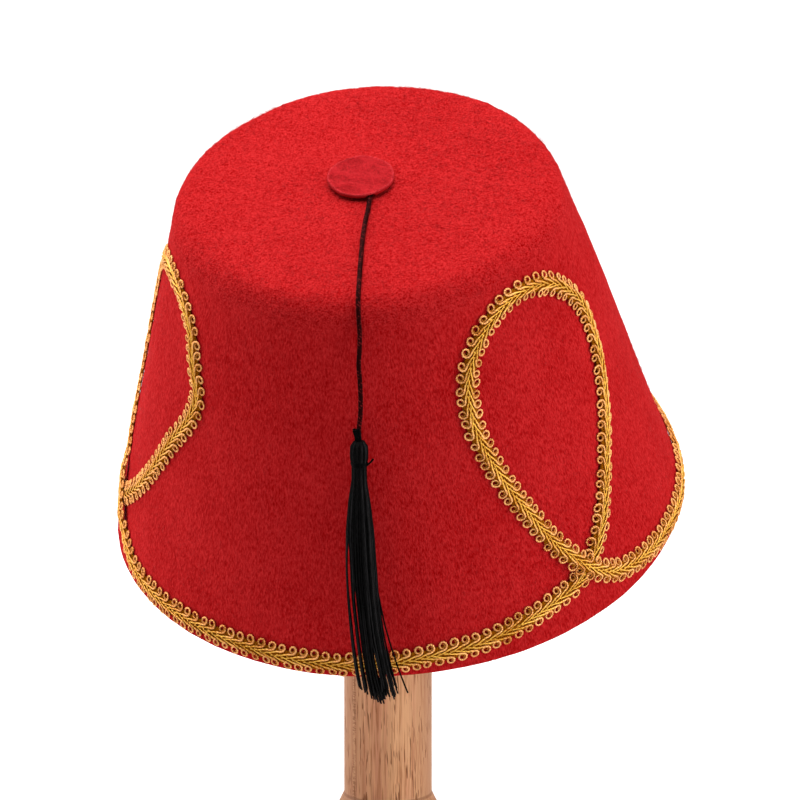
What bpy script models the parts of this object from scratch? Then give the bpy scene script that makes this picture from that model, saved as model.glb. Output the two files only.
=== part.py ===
"""A red felt fez with gold gimp braid, a felt button and a black tassel, on a plain turned wooden stand.

Metres, +Z up. The origin is the centre of the stand's underside, and the front of the hat faces -Y. The hat hangs
over the stand's round knob, tipped forward and a little to the left. Its own pieces are made in the hat's frame,
whose origin is the middle of the rim and whose Z runs up the hat's axis. The tassel and the free end of its cord
hang plumb, so they are made in the object's frame.
"""

import math

import bmesh
import bpy
import numpy as np
from mathutils import Matrix, Vector

MM = 0.001
GAP = 0.3 * MM  # left between pieces that touch
ON_AXIS = 1e-7  # a turned outline's point this near the axis is on it
SAME_POINT = 1e-6

# The felt cap
RIM_RADIUS = 95.0 * MM
CROWN_RADIUS = 63.2 * MM  # where the wall's line would meet the crown's
CAP_HEIGHT = 129.0 * MM
CROWN_EDGE_RADIUS = 8.4 * MM
CROWN_DOME = 0.8 * MM
FELT = 2.2 * MM
CAP_SEGMENTS = 84

# How the cap sits on the stand
RIM_CENTRE = Vector((3.9, 19.7, 133.9)) * MM
CAP_PITCH = math.radians(23.2)  # forward
CAP_LEAN = math.radians(-5.14)  # to the left
CAP_TWIST = math.radians(1.43)

# The braid: one closed run, round the rim and up into a loop three times
BRAID_WIDTH = 8.8 * MM
BRAID_THICKNESS = 1.2 * MM
BRAID_STEP = 5.0 * MM
CROSSING_LIFT = BRAID_THICKNESS + GAP + 0.1 * MM
CROSSING_FLAT = 7.0 * MM  # how far from a crossing the upper strand is fully lifted
CROSSING_FOOT = 15.0 * MM  # how far from it the strand is down on the felt again

# A loop's rows: turn from its crossing (degrees, to the right), distance up the wall (mm), and 1 where it crosses over
TALL_LOOP = (
    (-63.0, 4.9, 0),
    (-51.0, 5.0, 0),
    (-40.0, 6.4, 0),
    (-27.1, 8.1, 0),
    (-13.7, 11.9, 0),
    (-0.3, 18.2, 0),
    (6.0, 28.6, 0),
    (13.6, 47.1, 0),
    (20.4, 65.6, 0),
    (24.5, 83.1, 0),
    (24.6, 98.0, 0),
    (18.6, 110.3, 0),
    (8.3, 118.7, 0),
    (-1.9, 120.1, 0),
    (-12.3, 114.3, 0),
    (-19.2, 102.6, 0),
    (-20.7, 86.0, 0),
    (-17.3, 66.2, 0),
    (-11.3, 45.8, 0),
    (-5.9, 29.7, 0),
    (-0.3, 18.2, 1),
    (5.8, 11.0, 0),
    (15.0, 7.1, 0),
    (27.0, 5.3, 0),
)
KINKED_LOOP = (
    (-66.0, 5.0, 0),
    (-45.0, 5.2, 0),
    (-25.0, 6.4, 0),
    (-13.0, 12.4, 0),
    (-0.3, 18.7, 0),
    (7.6, 28.4, 0),
    (16.3, 44.6, 0),
    (24.0, 63.1, 0),
    (30.3, 77.3, 0),
    (31.7, 84.5, 0),
    (29.1, 94.5, 0),
    (25.9, 105.7, 0),
    (17.7, 114.6, 0),
    (7.1, 116.4, 0),
    (-3.5, 112.6, 0),
    (-11.0, 103.5, 0),
    (-14.5, 90.0, 0),
    (-14.8, 73.0, 0),
    (-12.3, 52.0, 0),
    (-6.4, 32.0, 0),
    (-0.3, 18.7, 1),
    (4.6, 11.8, 0),
    (13.8, 6.7, 0),
    (26.0, 5.1, 0),
    (38.0, 5.3, 0),
    (52.0, 5.4, 0),
)
# Where each loop crosses itself: degrees round the cap from its front, to the right, and the loop's rows
LOOPS = (
    (-88.0, KINKED_LOOP),
    (41.2, TALL_LOOP),
    (140.0, TALL_LOOP),
)
ROUTE_SAMPLES = 12  # between two rows
SMOOTHING_RADIUS = 80.0 * MM  # the wall's middle radius, which sets how turns weigh against heights
# The braid's section: share of its half-width to the left of its way, share of its thickness
BRAID_SECTION = (
    (-1.0, 0.0),
    (1.0, 0.0),
    (1.0, 0.6),
    (0.6, 1.0),
    (-0.6, 1.0),
    (-1.0, 0.6),
)

# The felt button on the crown, with a glued middle that holds its edge clear of the crown
BUTTON_RADIUS = 11.4 * MM
BUTTON_THICKNESS = 1.7 * MM
BUTTON_RAISED = 0.9 * MM
BUTTON_MIDDLE_RADIUS = 6.0 * MM
BUTTON_PLACE = Vector((-1.75, 4.3, 0.0)) * MM
BUTTON_SEGMENTS = 48

# The cord, from under the button over the crown's front edge and down to the tassel
CORD_RADIUS = 0.75 * MM
CORD_POINT_SPACING = 3.4 * MM
CORD_ROUNDNESS = 2
GROOVE_SIDES = 12
GROOVE_ROOM = 0.4 * MM  # round the cord, in the button's underside
# Its way over the crown: x, y in the hat's frame (mm)
CORD_ON_CROWN = (
    (1.1, -2.8),
    (0.7, -5.9),
    (0.25, -9.0),
    (-0.5, -13.5),
    (-1.6, -19.0),
    (-3.1, -28.5),
    (-4.2, -38.0),
    (-5.1, -46.0),
    (-5.8, -53.0),
)
CORD_EDGE_TURN = math.radians(-6.25)  # where it goes over the crown's edge, round from the front
CORD_EDGE_ANGLES = (78.0, 60.0, 42.0, 23.0)  # along the edge's arc, degrees above the rim's plane
# Its way down: x, z from where the edge lets it go (mm)
CORD_HANGING = (
    (0.3, -4.0),
    (0.3, -9.0),
    (0.0, -15.0),
    (0.4, -21.0),
    (0.6, -27.0),
    (0.5, -32.0),
    (0.1, -35.9),
)

# The tassel's outside: drop from the knot's top, half-width, half-depth (mm); its solid core stops a row short
TASSEL_BODY = (
    (0.0, 1.1, 1.1),
    (0.6, 1.5, 1.4),
    (3.0, 1.6, 1.5),
    (4.2, 1.5, 1.5),
    (4.9, 2.5, 2.4),
    (6.5, 2.9, 2.8),
    (9.5, 2.95, 2.9),
    (11.8, 2.65, 2.6),
    (12.8, 2.35, 2.35),
    (18.0, 2.45, 2.45),
    (25.0, 3.5, 3.3),
    (35.0, 4.5, 4.1),
    (50.0, 4.8, 4.3),
    (66.0, 4.9, 4.4),
    (80.0, 5.4, 4.6),
    (92.0, 5.9, 4.8),
)
TASSEL_SIDES = 14
TASSEL_SWAY = 7.4 * MM  # how far the hem has drifted to the right
TASSEL_SWAY_POWER = 3.4
TASSEL_LENGTH = 92.0 * MM
SKIRT_TOP = 17.0 * MM
# The skirt's locks: turn round the tassel (degrees, 0 to the right), width (mm), drop of its end from the knot (mm)
TASSEL_LOCKS = (
    (0.0, 3.3, 88.5),
    (36.0, 3.0, 85.5),
    (72.0, 3.4, 89.0),
    (108.0, 3.1, 88.5),
    (144.0, 3.3, 90.5),
    (180.0, 3.0, 87.0),
    (216.0, 3.4, 90.0),
    (252.0, 3.2, 92.0),
    (288.0, 3.5, 91.0),
    (324.0, 3.1, 90.0),
)
LOCK_SIDES = 6
LOCK_RINGS = 6
LOCK_SUNK = 0.4 * MM  # how far a lock's middle lies inside the body's outside
# A lock's fullness along it: share of its length, share of its width
LOCK_FULLNESS = (
    (0.0, 0.5),
    (0.3, 0.9),
    (0.7, 1.0),
    (1.0, 0.85),
)

# The stand: a turned base, a plain post and a round knob inside the hat
POST_RADIUS = 14.7 * MM
KNOB_RADIUS = 25.0 * MM
KNOB_UNDERCUT = math.radians(40.0)  # how far below its middle the knob's round reaches
KNOB_ROWS = 11
# The base's outline from its collar down: radius, height (mm)
BASE_OUTLINE = (
    (14.7, 39.4),
    (16.3, 36.0),
    (17.9, 32.4),
    (20.2, 28.2),
    (23.6, 24.4),
    (28.4, 21.6),
    (34.6, 19.6),
    (42.0, 18.2),
    (54.0, 16.8),
    (66.0, 16.0),
    (69.6, 15.2),
    (71.4, 13.4),
    (72.0, 11.0),
    (72.0, 4.0),
    (71.2, 1.4),
    (69.4, 0.0),
)
STAND_SEGMENTS = 56

WALL_SLOPE = math.atan((RIM_RADIUS - CROWN_RADIUS) / CAP_HEIGHT)
EDGE_REACH = CROWN_EDGE_RADIUS * math.tan((math.pi / 2 - WALL_SLOPE) / 2)
EDGE_CENTRE = Vector((CROWN_RADIUS - EDGE_REACH, CAP_HEIGHT - CROWN_EDGE_RADIUS))

FELT_RED = (0.52, 0.012, 0.016)
BUTTON_RED = (0.60, 0.030, 0.038)
GIMP_GOLD = (0.52, 0.235, 0.05)
TASSEL_BLACK = (0.004, 0.004, 0.004)
OAK = (0.49, 0.235, 0.125)


def clear_scene():
    """Take everything out of the scene."""
    for thing in list(bpy.data.objects):
        bpy.data.objects.remove(thing, do_unlink=True)


def finish(name, colour, roughness, metallic=0.0):
    """A plain Principled material."""
    material = bpy.data.materials.new(name)
    material.use_nodes = True
    shader = material.node_tree.nodes["Principled BSDF"]
    shader.inputs["Base Color"].default_value = (*colour, 1.0)
    shader.inputs["Roughness"].default_value = roughness
    shader.inputs["Metallic"].default_value = metallic
    return material


def add_object(name, data, material, parent=None):
    """Put mesh or curve data into the scene as one named object."""
    thing = bpy.data.objects.new(name, data)
    data.materials.append(material)
    bpy.context.scene.collection.objects.link(thing)
    thing.parent = parent
    return thing


def smooth_by_angle(mesh, degrees):
    """Shade round stretches smooth and keep corners sharper than the angle."""
    mesh.shade_smooth()
    mesh.set_sharp_from_angle(angle=math.radians(degrees))


def turned_mesh(name, outline, segments):
    """Spin a closed outline of (radius, height) points about Z; its sides on the axis make no face."""
    work = bmesh.new()
    rows = [work.verts.new((radius, 0.0, height)) for radius, height in outline]
    sides = zip(rows, rows[1:] + rows[:1])
    edges = [work.edges.new(side) for side in sides if max(row.co.x for row in side) > ON_AXIS]
    bmesh.ops.spin(
        work,
        geom=rows + edges,
        axis=(0.0, 0.0, 1.0),
        cent=(0.0, 0.0, 0.0),
        angle=2.0 * math.pi,
        steps=segments,
        use_merge=True,
    )
    bmesh.ops.remove_doubles(work, verts=work.verts, dist=SAME_POINT)
    bmesh.ops.recalc_face_normals(work, faces=work.faces)
    mesh = bpy.data.meshes.new(name)
    work.to_mesh(mesh)
    work.free()
    return mesh


def ring_mesh(name, rings, closed):
    """Skin over equal rings, an array of (ring, corner, xyz): a closed run, or one capped at both ends."""
    count, corners, _ = rings.shape
    grid = np.arange(count * corners).reshape(count, corners)
    behind = grid if closed else grid[:-1]
    ahead = np.roll(grid, -1, axis=0) if closed else grid[1:]
    sides = (behind, np.roll(behind, -1, axis=1), np.roll(ahead, -1, axis=1), ahead)
    faces = np.stack(sides, axis=-1).reshape(-1, 4).tolist()
    if not closed:
        faces += [grid[0].tolist(), grid[-1].tolist()]
    mesh = bpy.data.meshes.new(name)
    mesh.from_pydata(rings.reshape(-1, 3).tolist(), [], faces)
    work = bmesh.new()
    work.from_mesh(mesh)
    bmesh.ops.recalc_face_normals(work, faces=work.faces)
    work.to_mesh(mesh)
    work.free()
    return mesh


def smooth_run(points, samples):
    """A smooth curve through the points: a cubic between each two, its slopes weighted by the points' spacing."""
    steps = np.diff(points, axis=0)
    spans = np.linalg.norm(steps, axis=1)[:, None]
    pace = steps / spans
    slopes = np.vstack((pace[:1], pace))
    slopes[1:-1] = (pace[:-1] * spans[1:] + pace[1:] * spans[:-1]) / (spans[1:] + spans[:-1])
    t = np.linspace(0.0, 1.0, samples, endpoint=False)[None, :, None]
    leave = slopes[:-1, None] * spans[:, None]
    arrive = slopes[1:, None] * spans[:, None]
    curve = (
        (2 * t**3 - 3 * t**2 + 1) * points[:-1, None]
        + (t**3 - 2 * t**2 + t) * leave
        + (3 * t**2 - 2 * t**3) * points[1:, None]
        + (t**3 - t**2) * arrive
    )
    return np.vstack((curve.reshape(-1, points.shape[1]), points[-1:]))


def distances_along(curve):
    """How far each point of a curve lies along it."""
    return np.concatenate(([0.0], np.cumsum(np.linalg.norm(np.diff(curve, axis=0), axis=1))))


def read_at(curve, along, places):
    """Each column of a curve, read at places along it."""
    return np.stack([np.interp(places, along, column) for column in curve.T], axis=-1)


def crown_height(radius):
    """Height of the crown's outer face at a distance from the hat's axis."""
    return CAP_HEIGHT + CROWN_DOME * (1.0 - (radius / EDGE_CENTRE.x) ** 2)


def edge_point(angle, radius):
    """Radius and height of a point on the crown's rounded edge, at an angle above the rim's plane."""
    return EDGE_CENTRE + radius * Vector((math.cos(angle), math.sin(angle)))


def wall_points(turn, up, off):
    """Points on the wall's outer face: turned from the front to the right, up along the wall and off it."""
    radius = RIM_RADIUS - up * math.sin(WALL_SLOPE) + off * math.cos(WALL_SLOPE)
    height = up * math.cos(WALL_SLOPE) + off * math.sin(WALL_SLOPE)
    return np.stack((radius * np.sin(turn), -radius * np.cos(turn), height), axis=-1)


def cap_side(inset, wall_rows, edge_rows, crown_rows):
    """One face of the cap from rim to axis, moved inwards by the inset: straight wall, round edge, low dome."""
    foot = RIM_RADIUS - inset / math.cos(WALL_SLOPE)
    edge_radius = CROWN_EDGE_RADIUS - inset
    wall_top = edge_point(WALL_SLOPE, edge_radius)
    points = [
        (foot + share * (wall_top.x - foot), share * wall_top.y)
        for share in (row / wall_rows for row in range(wall_rows))
    ]
    for row in range(edge_rows + 1):
        angle = WALL_SLOPE + row / edge_rows * (math.pi / 2 - WALL_SLOPE)
        points.append(tuple(edge_point(angle, edge_radius)))
    points[-1] = (EDGE_CENTRE.x, CAP_HEIGHT - inset)
    for row in range(1, crown_rows + 1):
        radius = EDGE_CENTRE.x * (1.0 - row / crown_rows)
        points.append((radius, crown_height(radius) - inset))
    return points


def make_cap_frame():
    """An empty that holds the hat's frame: Z up its axis, -Y to its front, its origin in the rim's middle."""
    frame = bpy.data.objects.new("cap_frame", None)
    frame.rotation_mode = "ZXY"
    frame.location = RIM_CENTRE
    frame.rotation_euler = (CAP_PITCH, CAP_LEAN, CAP_TWIST)
    bpy.context.scene.collection.objects.link(frame)
    return frame


def cap_matrix():
    """The hat's frame as a matrix: its twist first, then its pitch, then its lean."""
    turned = (
        Matrix.Rotation(CAP_LEAN, 4, "Y")
        @ Matrix.Rotation(CAP_PITCH, 4, "X")
        @ Matrix.Rotation(CAP_TWIST, 4, "Z")
    )
    return Matrix.Translation(RIM_CENTRE) @ turned


def make_felt_shell(cap):
    """Crown and wall in one piece of felt, open below."""
    outside = cap_side(0.0, 3, 5, 2)
    inside = cap_side(FELT, 2, 4, 1)
    mesh = turned_mesh("felt_shell", outside + inside[::-1], CAP_SEGMENTS)
    smooth_by_angle(mesh, 40.0)
    return add_object("felt_shell", mesh, finish("felt", FELT_RED, 0.95), cap)


def braid_run():
    """The braid's middle line on the wall, as columns turn and up, and how far along it each crossing over lies."""
    rows = np.array(
        [
            (math.radians(crossing + turn), up * MM, over)
            for crossing, loop in LOOPS
            for turn, up, over in loop
        ]
    )
    laps = [rows + (lap * 2.0 * math.pi, 0.0, 0.0) for lap in (-1, 0, 1)]
    flat = np.vstack(laps)[:, :2] * (SMOOTHING_RADIUS, 1.0)
    curve = smooth_run(flat, ROUTE_SAMPLES) / (SMOOTHING_RADIUS, 1.0)
    first = len(rows) * ROUTE_SAMPLES
    one_lap = curve[first : 2 * first + 1]
    along = distances_along(wall_points(one_lap[:, 0], one_lap[:, 1], 0.0))
    return one_lap, along, along[np.flatnonzero(rows[:, 2]) * ROUTE_SAMPLES]


def braid_lift(places, length, crossings):
    """How far the braid rises to pass over itself: full near a crossing, easing down to nothing."""
    apart = np.abs(places[:, None] - crossings)
    nearest = np.minimum(apart, length - apart).min(axis=1)
    ease = np.clip((CROSSING_FOOT - nearest) / (CROSSING_FOOT - CROSSING_FLAT), 0.0, 1.0)
    return CROSSING_LIFT * ease**2 * (3.0 - 2.0 * ease)


def make_gold_braid(cap):
    """The braid as one closed ribbon with a low crowned top, laid on the wall and over itself at each loop."""
    curve, along, crossings = braid_run()
    count = round(along[-1] / BRAID_STEP)
    places = np.linspace(0.0, along[-1], count, endpoint=False)
    turn, up = read_at(curve, along, places).T
    lift = braid_lift(places, along[-1], crossings)
    radius = RIM_RADIUS - up * math.sin(WALL_SLOPE)
    reach = BRAID_STEP / 2
    ahead = read_at(curve, along, places + reach) - read_at(curve, along, np.maximum(places - reach, 0.0))
    heading = ahead * np.stack((radius, np.ones_like(radius)), axis=-1)
    heading /= np.linalg.norm(heading, axis=1)[:, None]
    side, rise = np.array(BRAID_SECTION).T
    across = side * BRAID_WIDTH / 2
    ring_turn = turn[:, None] - heading[:, 1:] * across / radius[:, None]
    ring_up = up[:, None] + heading[:, :1] * across
    ring_off = GAP + lift[:, None] + rise * BRAID_THICKNESS
    mesh = ring_mesh("gold_braid", wall_points(ring_turn, ring_up, ring_off), closed=True)
    return add_object("gold_braid", mesh, finish("gimp_gold", GIMP_GOLD, 0.42, 0.55), cap)


def cord_height(x, y):
    """Height of the cord's middle where it lies on the crown."""
    return crown_height(math.hypot(x, y)) + GAP + CORD_RADIUS


def cord_route():
    """The cord's own points: over the crown, round its edge, then down to the tassel's knot."""
    to_object = cap_matrix()
    over_crown = [
        to_object @ Vector((x * MM, y * MM, cord_height(x * MM, y * MM))) for x, y in CORD_ON_CROWN
    ]
    over_edge = []
    for degrees in CORD_EDGE_ANGLES:
        spot = edge_point(math.radians(degrees), CROWN_EDGE_RADIUS + GAP + CORD_RADIUS)
        round_edge = (spot.x * math.sin(CORD_EDGE_TURN), -spot.x * math.cos(CORD_EDGE_TURN), spot.y)
        over_edge.append(to_object @ Vector(round_edge))
    hanging = [over_edge[-1] + Vector((x, 0.0, z)) * MM for x, z in CORD_HANGING]
    return over_crown + over_edge + hanging


def make_tassel_cord(route):
    """The cord as a plain tube along its route."""
    curve = smooth_run(np.array([tuple(point) for point in route]), ROUTE_SAMPLES)
    along = distances_along(curve)
    count = round(along[-1] / CORD_POINT_SPACING) + 1
    points = read_at(curve, along, np.linspace(0.0, along[-1], count))
    data = bpy.data.curves.new("tassel_cord", "CURVE")
    data.dimensions = "3D"
    data.bevel_depth = CORD_RADIUS
    data.bevel_resolution = CORD_ROUNDNESS
    data.use_fill_caps = True
    spline = data.splines.new("POLY")
    spline.points.add(len(points) - 1)
    for spot, point in zip(spline.points, points):
        spot.co = (*point, 1.0)
    return add_object("tassel_cord", data, finish("tassel_cord", TASSEL_BLACK, 0.6))


def cord_groove(cap, button):
    """Cut the groove in the button's underside that the cord comes out of."""
    inner, outer = (Vector((x, y, 0.0)) * MM for x, y in (CORD_ON_CROWN[0], CORD_ON_CROWN[2]))
    run = outer - inner
    middle = (inner + outer) / 2
    work = bmesh.new()
    bmesh.ops.create_cone(
        work,
        cap_ends=True,
        segments=GROOVE_SIDES,
        radius1=CORD_RADIUS + GROOVE_ROOM,
        radius2=CORD_RADIUS + GROOVE_ROOM,
        depth=run.length + 2.0 * GROOVE_ROOM,
    )
    mesh = bpy.data.meshes.new("cord_groove")
    work.to_mesh(mesh)
    work.free()
    cutter = bpy.data.objects.new("cord_groove", mesh)
    bpy.context.scene.collection.objects.link(cutter)
    cutter.parent = cap
    cutter.rotation_mode = "QUATERNION"
    cutter.rotation_quaternion = run.to_track_quat("Z", "Y")
    cutter.location = (middle.x, middle.y, cord_height(middle.x, middle.y))
    cutter.hide_render = True
    cutter.display_type = "WIRE"
    cut = button.modifiers.new("cord_groove", "BOOLEAN")
    cut.operation = "DIFFERENCE"
    cut.object = cutter


def make_felt_button(cap):
    """A flat felt disc that covers the cord's end, its edge a little clear of the crown."""
    under = BUTTON_RAISED
    top = BUTTON_RAISED + BUTTON_THICKNESS
    bevel = BUTTON_THICKNESS / 3
    outline = (
        (0.0, GAP),
        (BUTTON_MIDDLE_RADIUS, GAP),
        (BUTTON_MIDDLE_RADIUS + under - GAP, under),
        (BUTTON_RADIUS - bevel, under),
        (BUTTON_RADIUS, under + bevel),
        (BUTTON_RADIUS, top - bevel),
        (BUTTON_RADIUS - bevel, top),
        (0.0, top),
    )
    mesh = turned_mesh("felt_button", outline, BUTTON_SEGMENTS)
    smooth_by_angle(mesh, 30.0)
    button = add_object("felt_button", mesh, finish("button_felt", BUTTON_RED, 0.95), cap)
    button.location = BUTTON_PLACE + Vector((0.0, 0.0, crown_height(0.0)))
    cord_groove(cap, button)
    return button


def tassel_middle(drop):
    """How far the tassel's middle has swayed to the right at a drop below its knot."""
    return TASSEL_SWAY * (drop / TASSEL_LENGTH) ** TASSEL_SWAY_POWER


def make_lock(number, turn, width, end, hang):
    """One lock of the skirt: a soft strip that starts inside the neck and follows the skirt's outside down."""
    drops, half_widths, half_depths = np.array(TASSEL_BODY).T * MM
    share = np.linspace(0.0, 1.0, LOCK_RINGS)
    drop = SKIRT_TOP + share * (end * MM - SKIRT_TOP)
    out_x = np.interp(drop, drops, half_widths) - LOCK_SUNK
    out_y = np.interp(drop, drops, half_depths) - LOCK_SUNK
    angle = math.radians(turn)
    middle = np.stack(
        (tassel_middle(drop) + out_x * math.cos(angle), out_y * math.sin(angle), -drop), axis=-1
    )
    fullness = np.interp(share, *np.array(LOCK_FULLNESS).T)
    corner = np.radians(turn) + np.arange(LOCK_SIDES) * 2.0 * math.pi / LOCK_SIDES
    around = np.stack((np.cos(corner), np.sin(corner), np.zeros(LOCK_SIDES)), axis=-1)
    rings = middle[:, None] + (fullness * width * MM / 2)[:, None, None] * around
    lock = bpy.data.objects.new(f"lock_{number}", ring_mesh(f"lock_{number}", rings, closed=False))
    lock.location = hang
    lock.hide_render = True
    lock.display_type = "WIRE"
    bpy.context.scene.collection.objects.link(lock)
    return lock


def make_tassel(hang):
    """Knot, wrapped head, neck and skirt in one body, the skirt's locks fused round it."""
    drop, half_width, half_depth = np.array(TASSEL_BODY[:-1]).T[:, :, None] * MM
    corner = np.arange(TASSEL_SIDES) * 2.0 * math.pi / TASSEL_SIDES
    rings = np.stack(
        (
            tassel_middle(drop) + half_width * np.cos(corner),
            half_depth * np.sin(corner),
            -drop + 0.0 * corner,
        ),
        axis=-1,
    )
    mesh = ring_mesh("tassel", rings, closed=False)
    tassel = add_object("tassel", mesh, finish("tassel_black", TASSEL_BLACK, 0.6))
    tassel.location = hang
    for number, (turn, width, end) in enumerate(TASSEL_LOCKS):
        join = tassel.modifiers.new(f"lock_{number}", "BOOLEAN")
        join.operation = "UNION"
        join.object = make_lock(number, turn, width, end, hang)
    return tassel


def knob_height():
    """Height of the knob's middle: it stands on the post's axis, and its top touches the crown from inside."""
    frame = cap_matrix()
    axis = frame.to_3x3() @ Vector((0.0, 0.0, 1.0))
    reach = CAP_HEIGHT - FELT - KNOB_RADIUS - GAP
    return (reach + axis.dot(RIM_CENTRE)) / axis.z


def make_stand():
    """A turned base, a plain round post and a round knob, stood on each other."""
    oak = finish("oak", OAK, 0.5)
    collar = BASE_OUTLINE[0][1] * MM
    base = [(0.0, collar)] + [(radius * MM, height * MM) for radius, height in BASE_OUTLINE] + [(0.0, 0.0)]
    base_mesh = turned_mesh("stand_base", base, STAND_SEGMENTS)
    smooth_by_angle(base_mesh, 35.0)
    add_object("stand_base", base_mesh, oak)

    middle = knob_height()
    under = middle - KNOB_RADIUS * math.sin(KNOB_UNDERCUT)
    post = (
        (0.0, collar + GAP),
        (POST_RADIUS, collar + GAP),
        (POST_RADIUS, under - GAP),
        (0.0, under - GAP),
    )
    post_mesh = turned_mesh("stand_post", post, STAND_SEGMENTS)
    smooth_by_angle(post_mesh, 35.0)
    add_object("stand_post", post_mesh, oak)

    angles = np.linspace(-KNOB_UNDERCUT, math.pi / 2, KNOB_ROWS)
    knob = [(0.0, under)]
    knob += [(KNOB_RADIUS * math.cos(a), middle + KNOB_RADIUS * math.sin(a)) for a in angles[:-1]]
    knob += [(0.0, middle + KNOB_RADIUS)]
    knob_mesh = turned_mesh("stand_knob", knob, STAND_SEGMENTS)
    smooth_by_angle(knob_mesh, 35.0)
    add_object("stand_knob", knob_mesh, oak)


def main():
    clear_scene()
    cap = make_cap_frame()
    make_felt_shell(cap)
    make_gold_braid(cap)
    make_felt_button(cap)
    route = cord_route()
    make_tassel_cord(route)
    make_tassel(route[-1] - Vector((0.0, 0.0, GAP)))
    make_stand()
    bpy.context.view_layer.update()


main()
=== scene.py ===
"""The looks of a red felt fez on a turned wooden stand: gold gimp braid, a felt button and a black tassel.

Metres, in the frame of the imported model. The hat's own pieces are worked out in the hat's frame, whose origin
is the middle of the rim and whose Z runs up the hat's axis, and are then turned into place. The tassel and
the free end of its cord hang plumb. Every piece's object sits at the origin, with its place in its mesh.
"""

import math

import bpy
import numpy as np
from mathutils import Matrix, Vector


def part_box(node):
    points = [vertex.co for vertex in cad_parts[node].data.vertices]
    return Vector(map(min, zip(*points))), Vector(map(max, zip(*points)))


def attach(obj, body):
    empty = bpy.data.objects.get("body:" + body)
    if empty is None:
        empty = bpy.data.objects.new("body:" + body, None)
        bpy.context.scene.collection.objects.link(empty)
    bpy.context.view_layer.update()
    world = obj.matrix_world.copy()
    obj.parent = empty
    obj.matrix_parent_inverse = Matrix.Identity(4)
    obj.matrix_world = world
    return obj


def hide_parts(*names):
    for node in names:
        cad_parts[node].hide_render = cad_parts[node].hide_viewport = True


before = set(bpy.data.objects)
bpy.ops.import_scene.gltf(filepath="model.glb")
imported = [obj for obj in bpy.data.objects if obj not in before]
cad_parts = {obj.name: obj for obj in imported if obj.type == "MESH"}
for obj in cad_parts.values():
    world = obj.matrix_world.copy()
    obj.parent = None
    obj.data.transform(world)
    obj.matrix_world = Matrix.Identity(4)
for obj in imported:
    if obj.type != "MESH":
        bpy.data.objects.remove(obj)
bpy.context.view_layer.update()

MM = 0.001
TURN = 2 * math.pi
GAP = 0.3 * MM  # left between pieces that touch
UPWARD = np.array((0, 0, 1))

# The felt cap, as in the solids
RIM_RADIUS = 95 * MM
CROWN_RADIUS = 63.2 * MM  # where the wall's line would meet the crown's
CAP_HEIGHT = 129 * MM
CROWN_EDGE_RADIUS = 8.4 * MM
CROWN_DOME = 0.8 * MM
FELT = 2.2 * MM
RIM_CENTRE = np.array((3.9, 19.7, 133.9)) * MM
CAP_PITCH = math.radians(23.2)  # forward
CAP_LEAN = math.radians(-5.14)  # to the left
CAP_TWIST = math.radians(1.43)
HAT_TURN = np.array(
    Matrix.Rotation(CAP_LEAN, 3, "Y")
    @ Matrix.Rotation(CAP_PITCH, 3, "X")
    @ Matrix.Rotation(CAP_TWIST, 3, "Z")
)
WALL_SLOPE = math.atan((RIM_RADIUS - CROWN_RADIUS) / CAP_HEIGHT)
WALL_OUT = np.array((math.cos(WALL_SLOPE), math.sin(WALL_SLOPE)))  # the way out of the wall: radial, up
EDGE_REACH = CROWN_EDGE_RADIUS * math.tan((math.pi / 2 - WALL_SLOPE) / 2)
EDGE_CENTRE = np.array((CROWN_RADIUS - EDGE_REACH, CAP_HEIGHT - CROWN_EDGE_RADIUS))

# The felt's surface
CAP_SEGMENTS = 420
OUTSIDE_ROWS = (112, 12, 34)  # of the wall, the crown's edge and the crown
INSIDE_ROWS = (22, 6, 6)
CUT_EDGE = 0.7 * MM  # rounding of the cut rim
CUT_EDGE_ANGLES = (160, 130, 90, 50, 20)
SWELL = (0.16 * MM, 55 * MM)  # height and size of the felt's slow waves
LUMPS = (0.05 * MM, 7 * MM)
TUFTS = (0.07 * MM, 2.6 * MM)  # of the crown's nap
UNEVENNESS = (0.25, 0.6, 1)  # share of all these inside, at the cut rim and outside
NAP_FROM = CAP_HEIGHT - 14 * MM  # height at which the crown's nap starts
NAP_FULL = CAP_HEIGHT - 2 * MM
FIBRES = 17000  # on the crown, and as many on the wall
FIBRES_ON_BUTTON = 1500
FIBRE_RADIUS = 0.034 * MM
FIBRE_SUNK = 0.12 * MM  # how far below the surface a fibre starts
FIBRES_ROUND_EDGE = 0.97  # share of the crown's edge radius, outwards, that the crown's fibres reach

# The braid, as in the solids
BRAID_WIDTH = 8.8 * MM
CROSSING_LIFT = 1.15 * MM
CROSSING_FLAT = 7 * MM  # how far from a crossing the upper strand is fully lifted
CROSSING_FOOT = 15 * MM  # how far from it the strand is down on the felt again
# A loop's places: turn from its crossing (degrees, to the right), distance up the wall (mm)
TALL_LOOP = (
    (-63, 4.9), (-51, 5), (-40, 6.4), (-27.1, 8.1), (-13.7, 11.9), (-0.3, 18.2), (6, 28.6),
    (13.6, 47.1), (20.4, 65.6), (24.5, 83.1), (24.6, 98), (18.6, 110.3), (8.3, 118.7), (-1.9, 120.1),
    (-12.3, 114.3), (-19.2, 102.6), (-20.7, 86), (-17.3, 66.2), (-11.3, 45.8), (-5.9, 29.7),
    (-0.3, 18.2), (5.8, 11), (15, 7.1), (27, 5.3),
)
KINKED_LOOP = (
    (-66, 5), (-45, 5.2), (-25, 6.4), (-13, 12.4), (-0.3, 18.7), (7.6, 28.4), (16.3, 44.6), (24, 63.1),
    (30.3, 77.3), (31.7, 84.5), (29.1, 94.5), (25.9, 105.7), (17.7, 114.6), (7.1, 116.4), (-3.5, 112.6),
    (-10.8, 103.5), (-13.5, 90), (-12.7, 73), (-9.9, 52), (-5.6, 32), (-0.3, 18.7), (4.6, 11.8),
    (13.8, 6.7), (26, 5.1), (38, 5.3), (52, 5.4),
)
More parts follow.
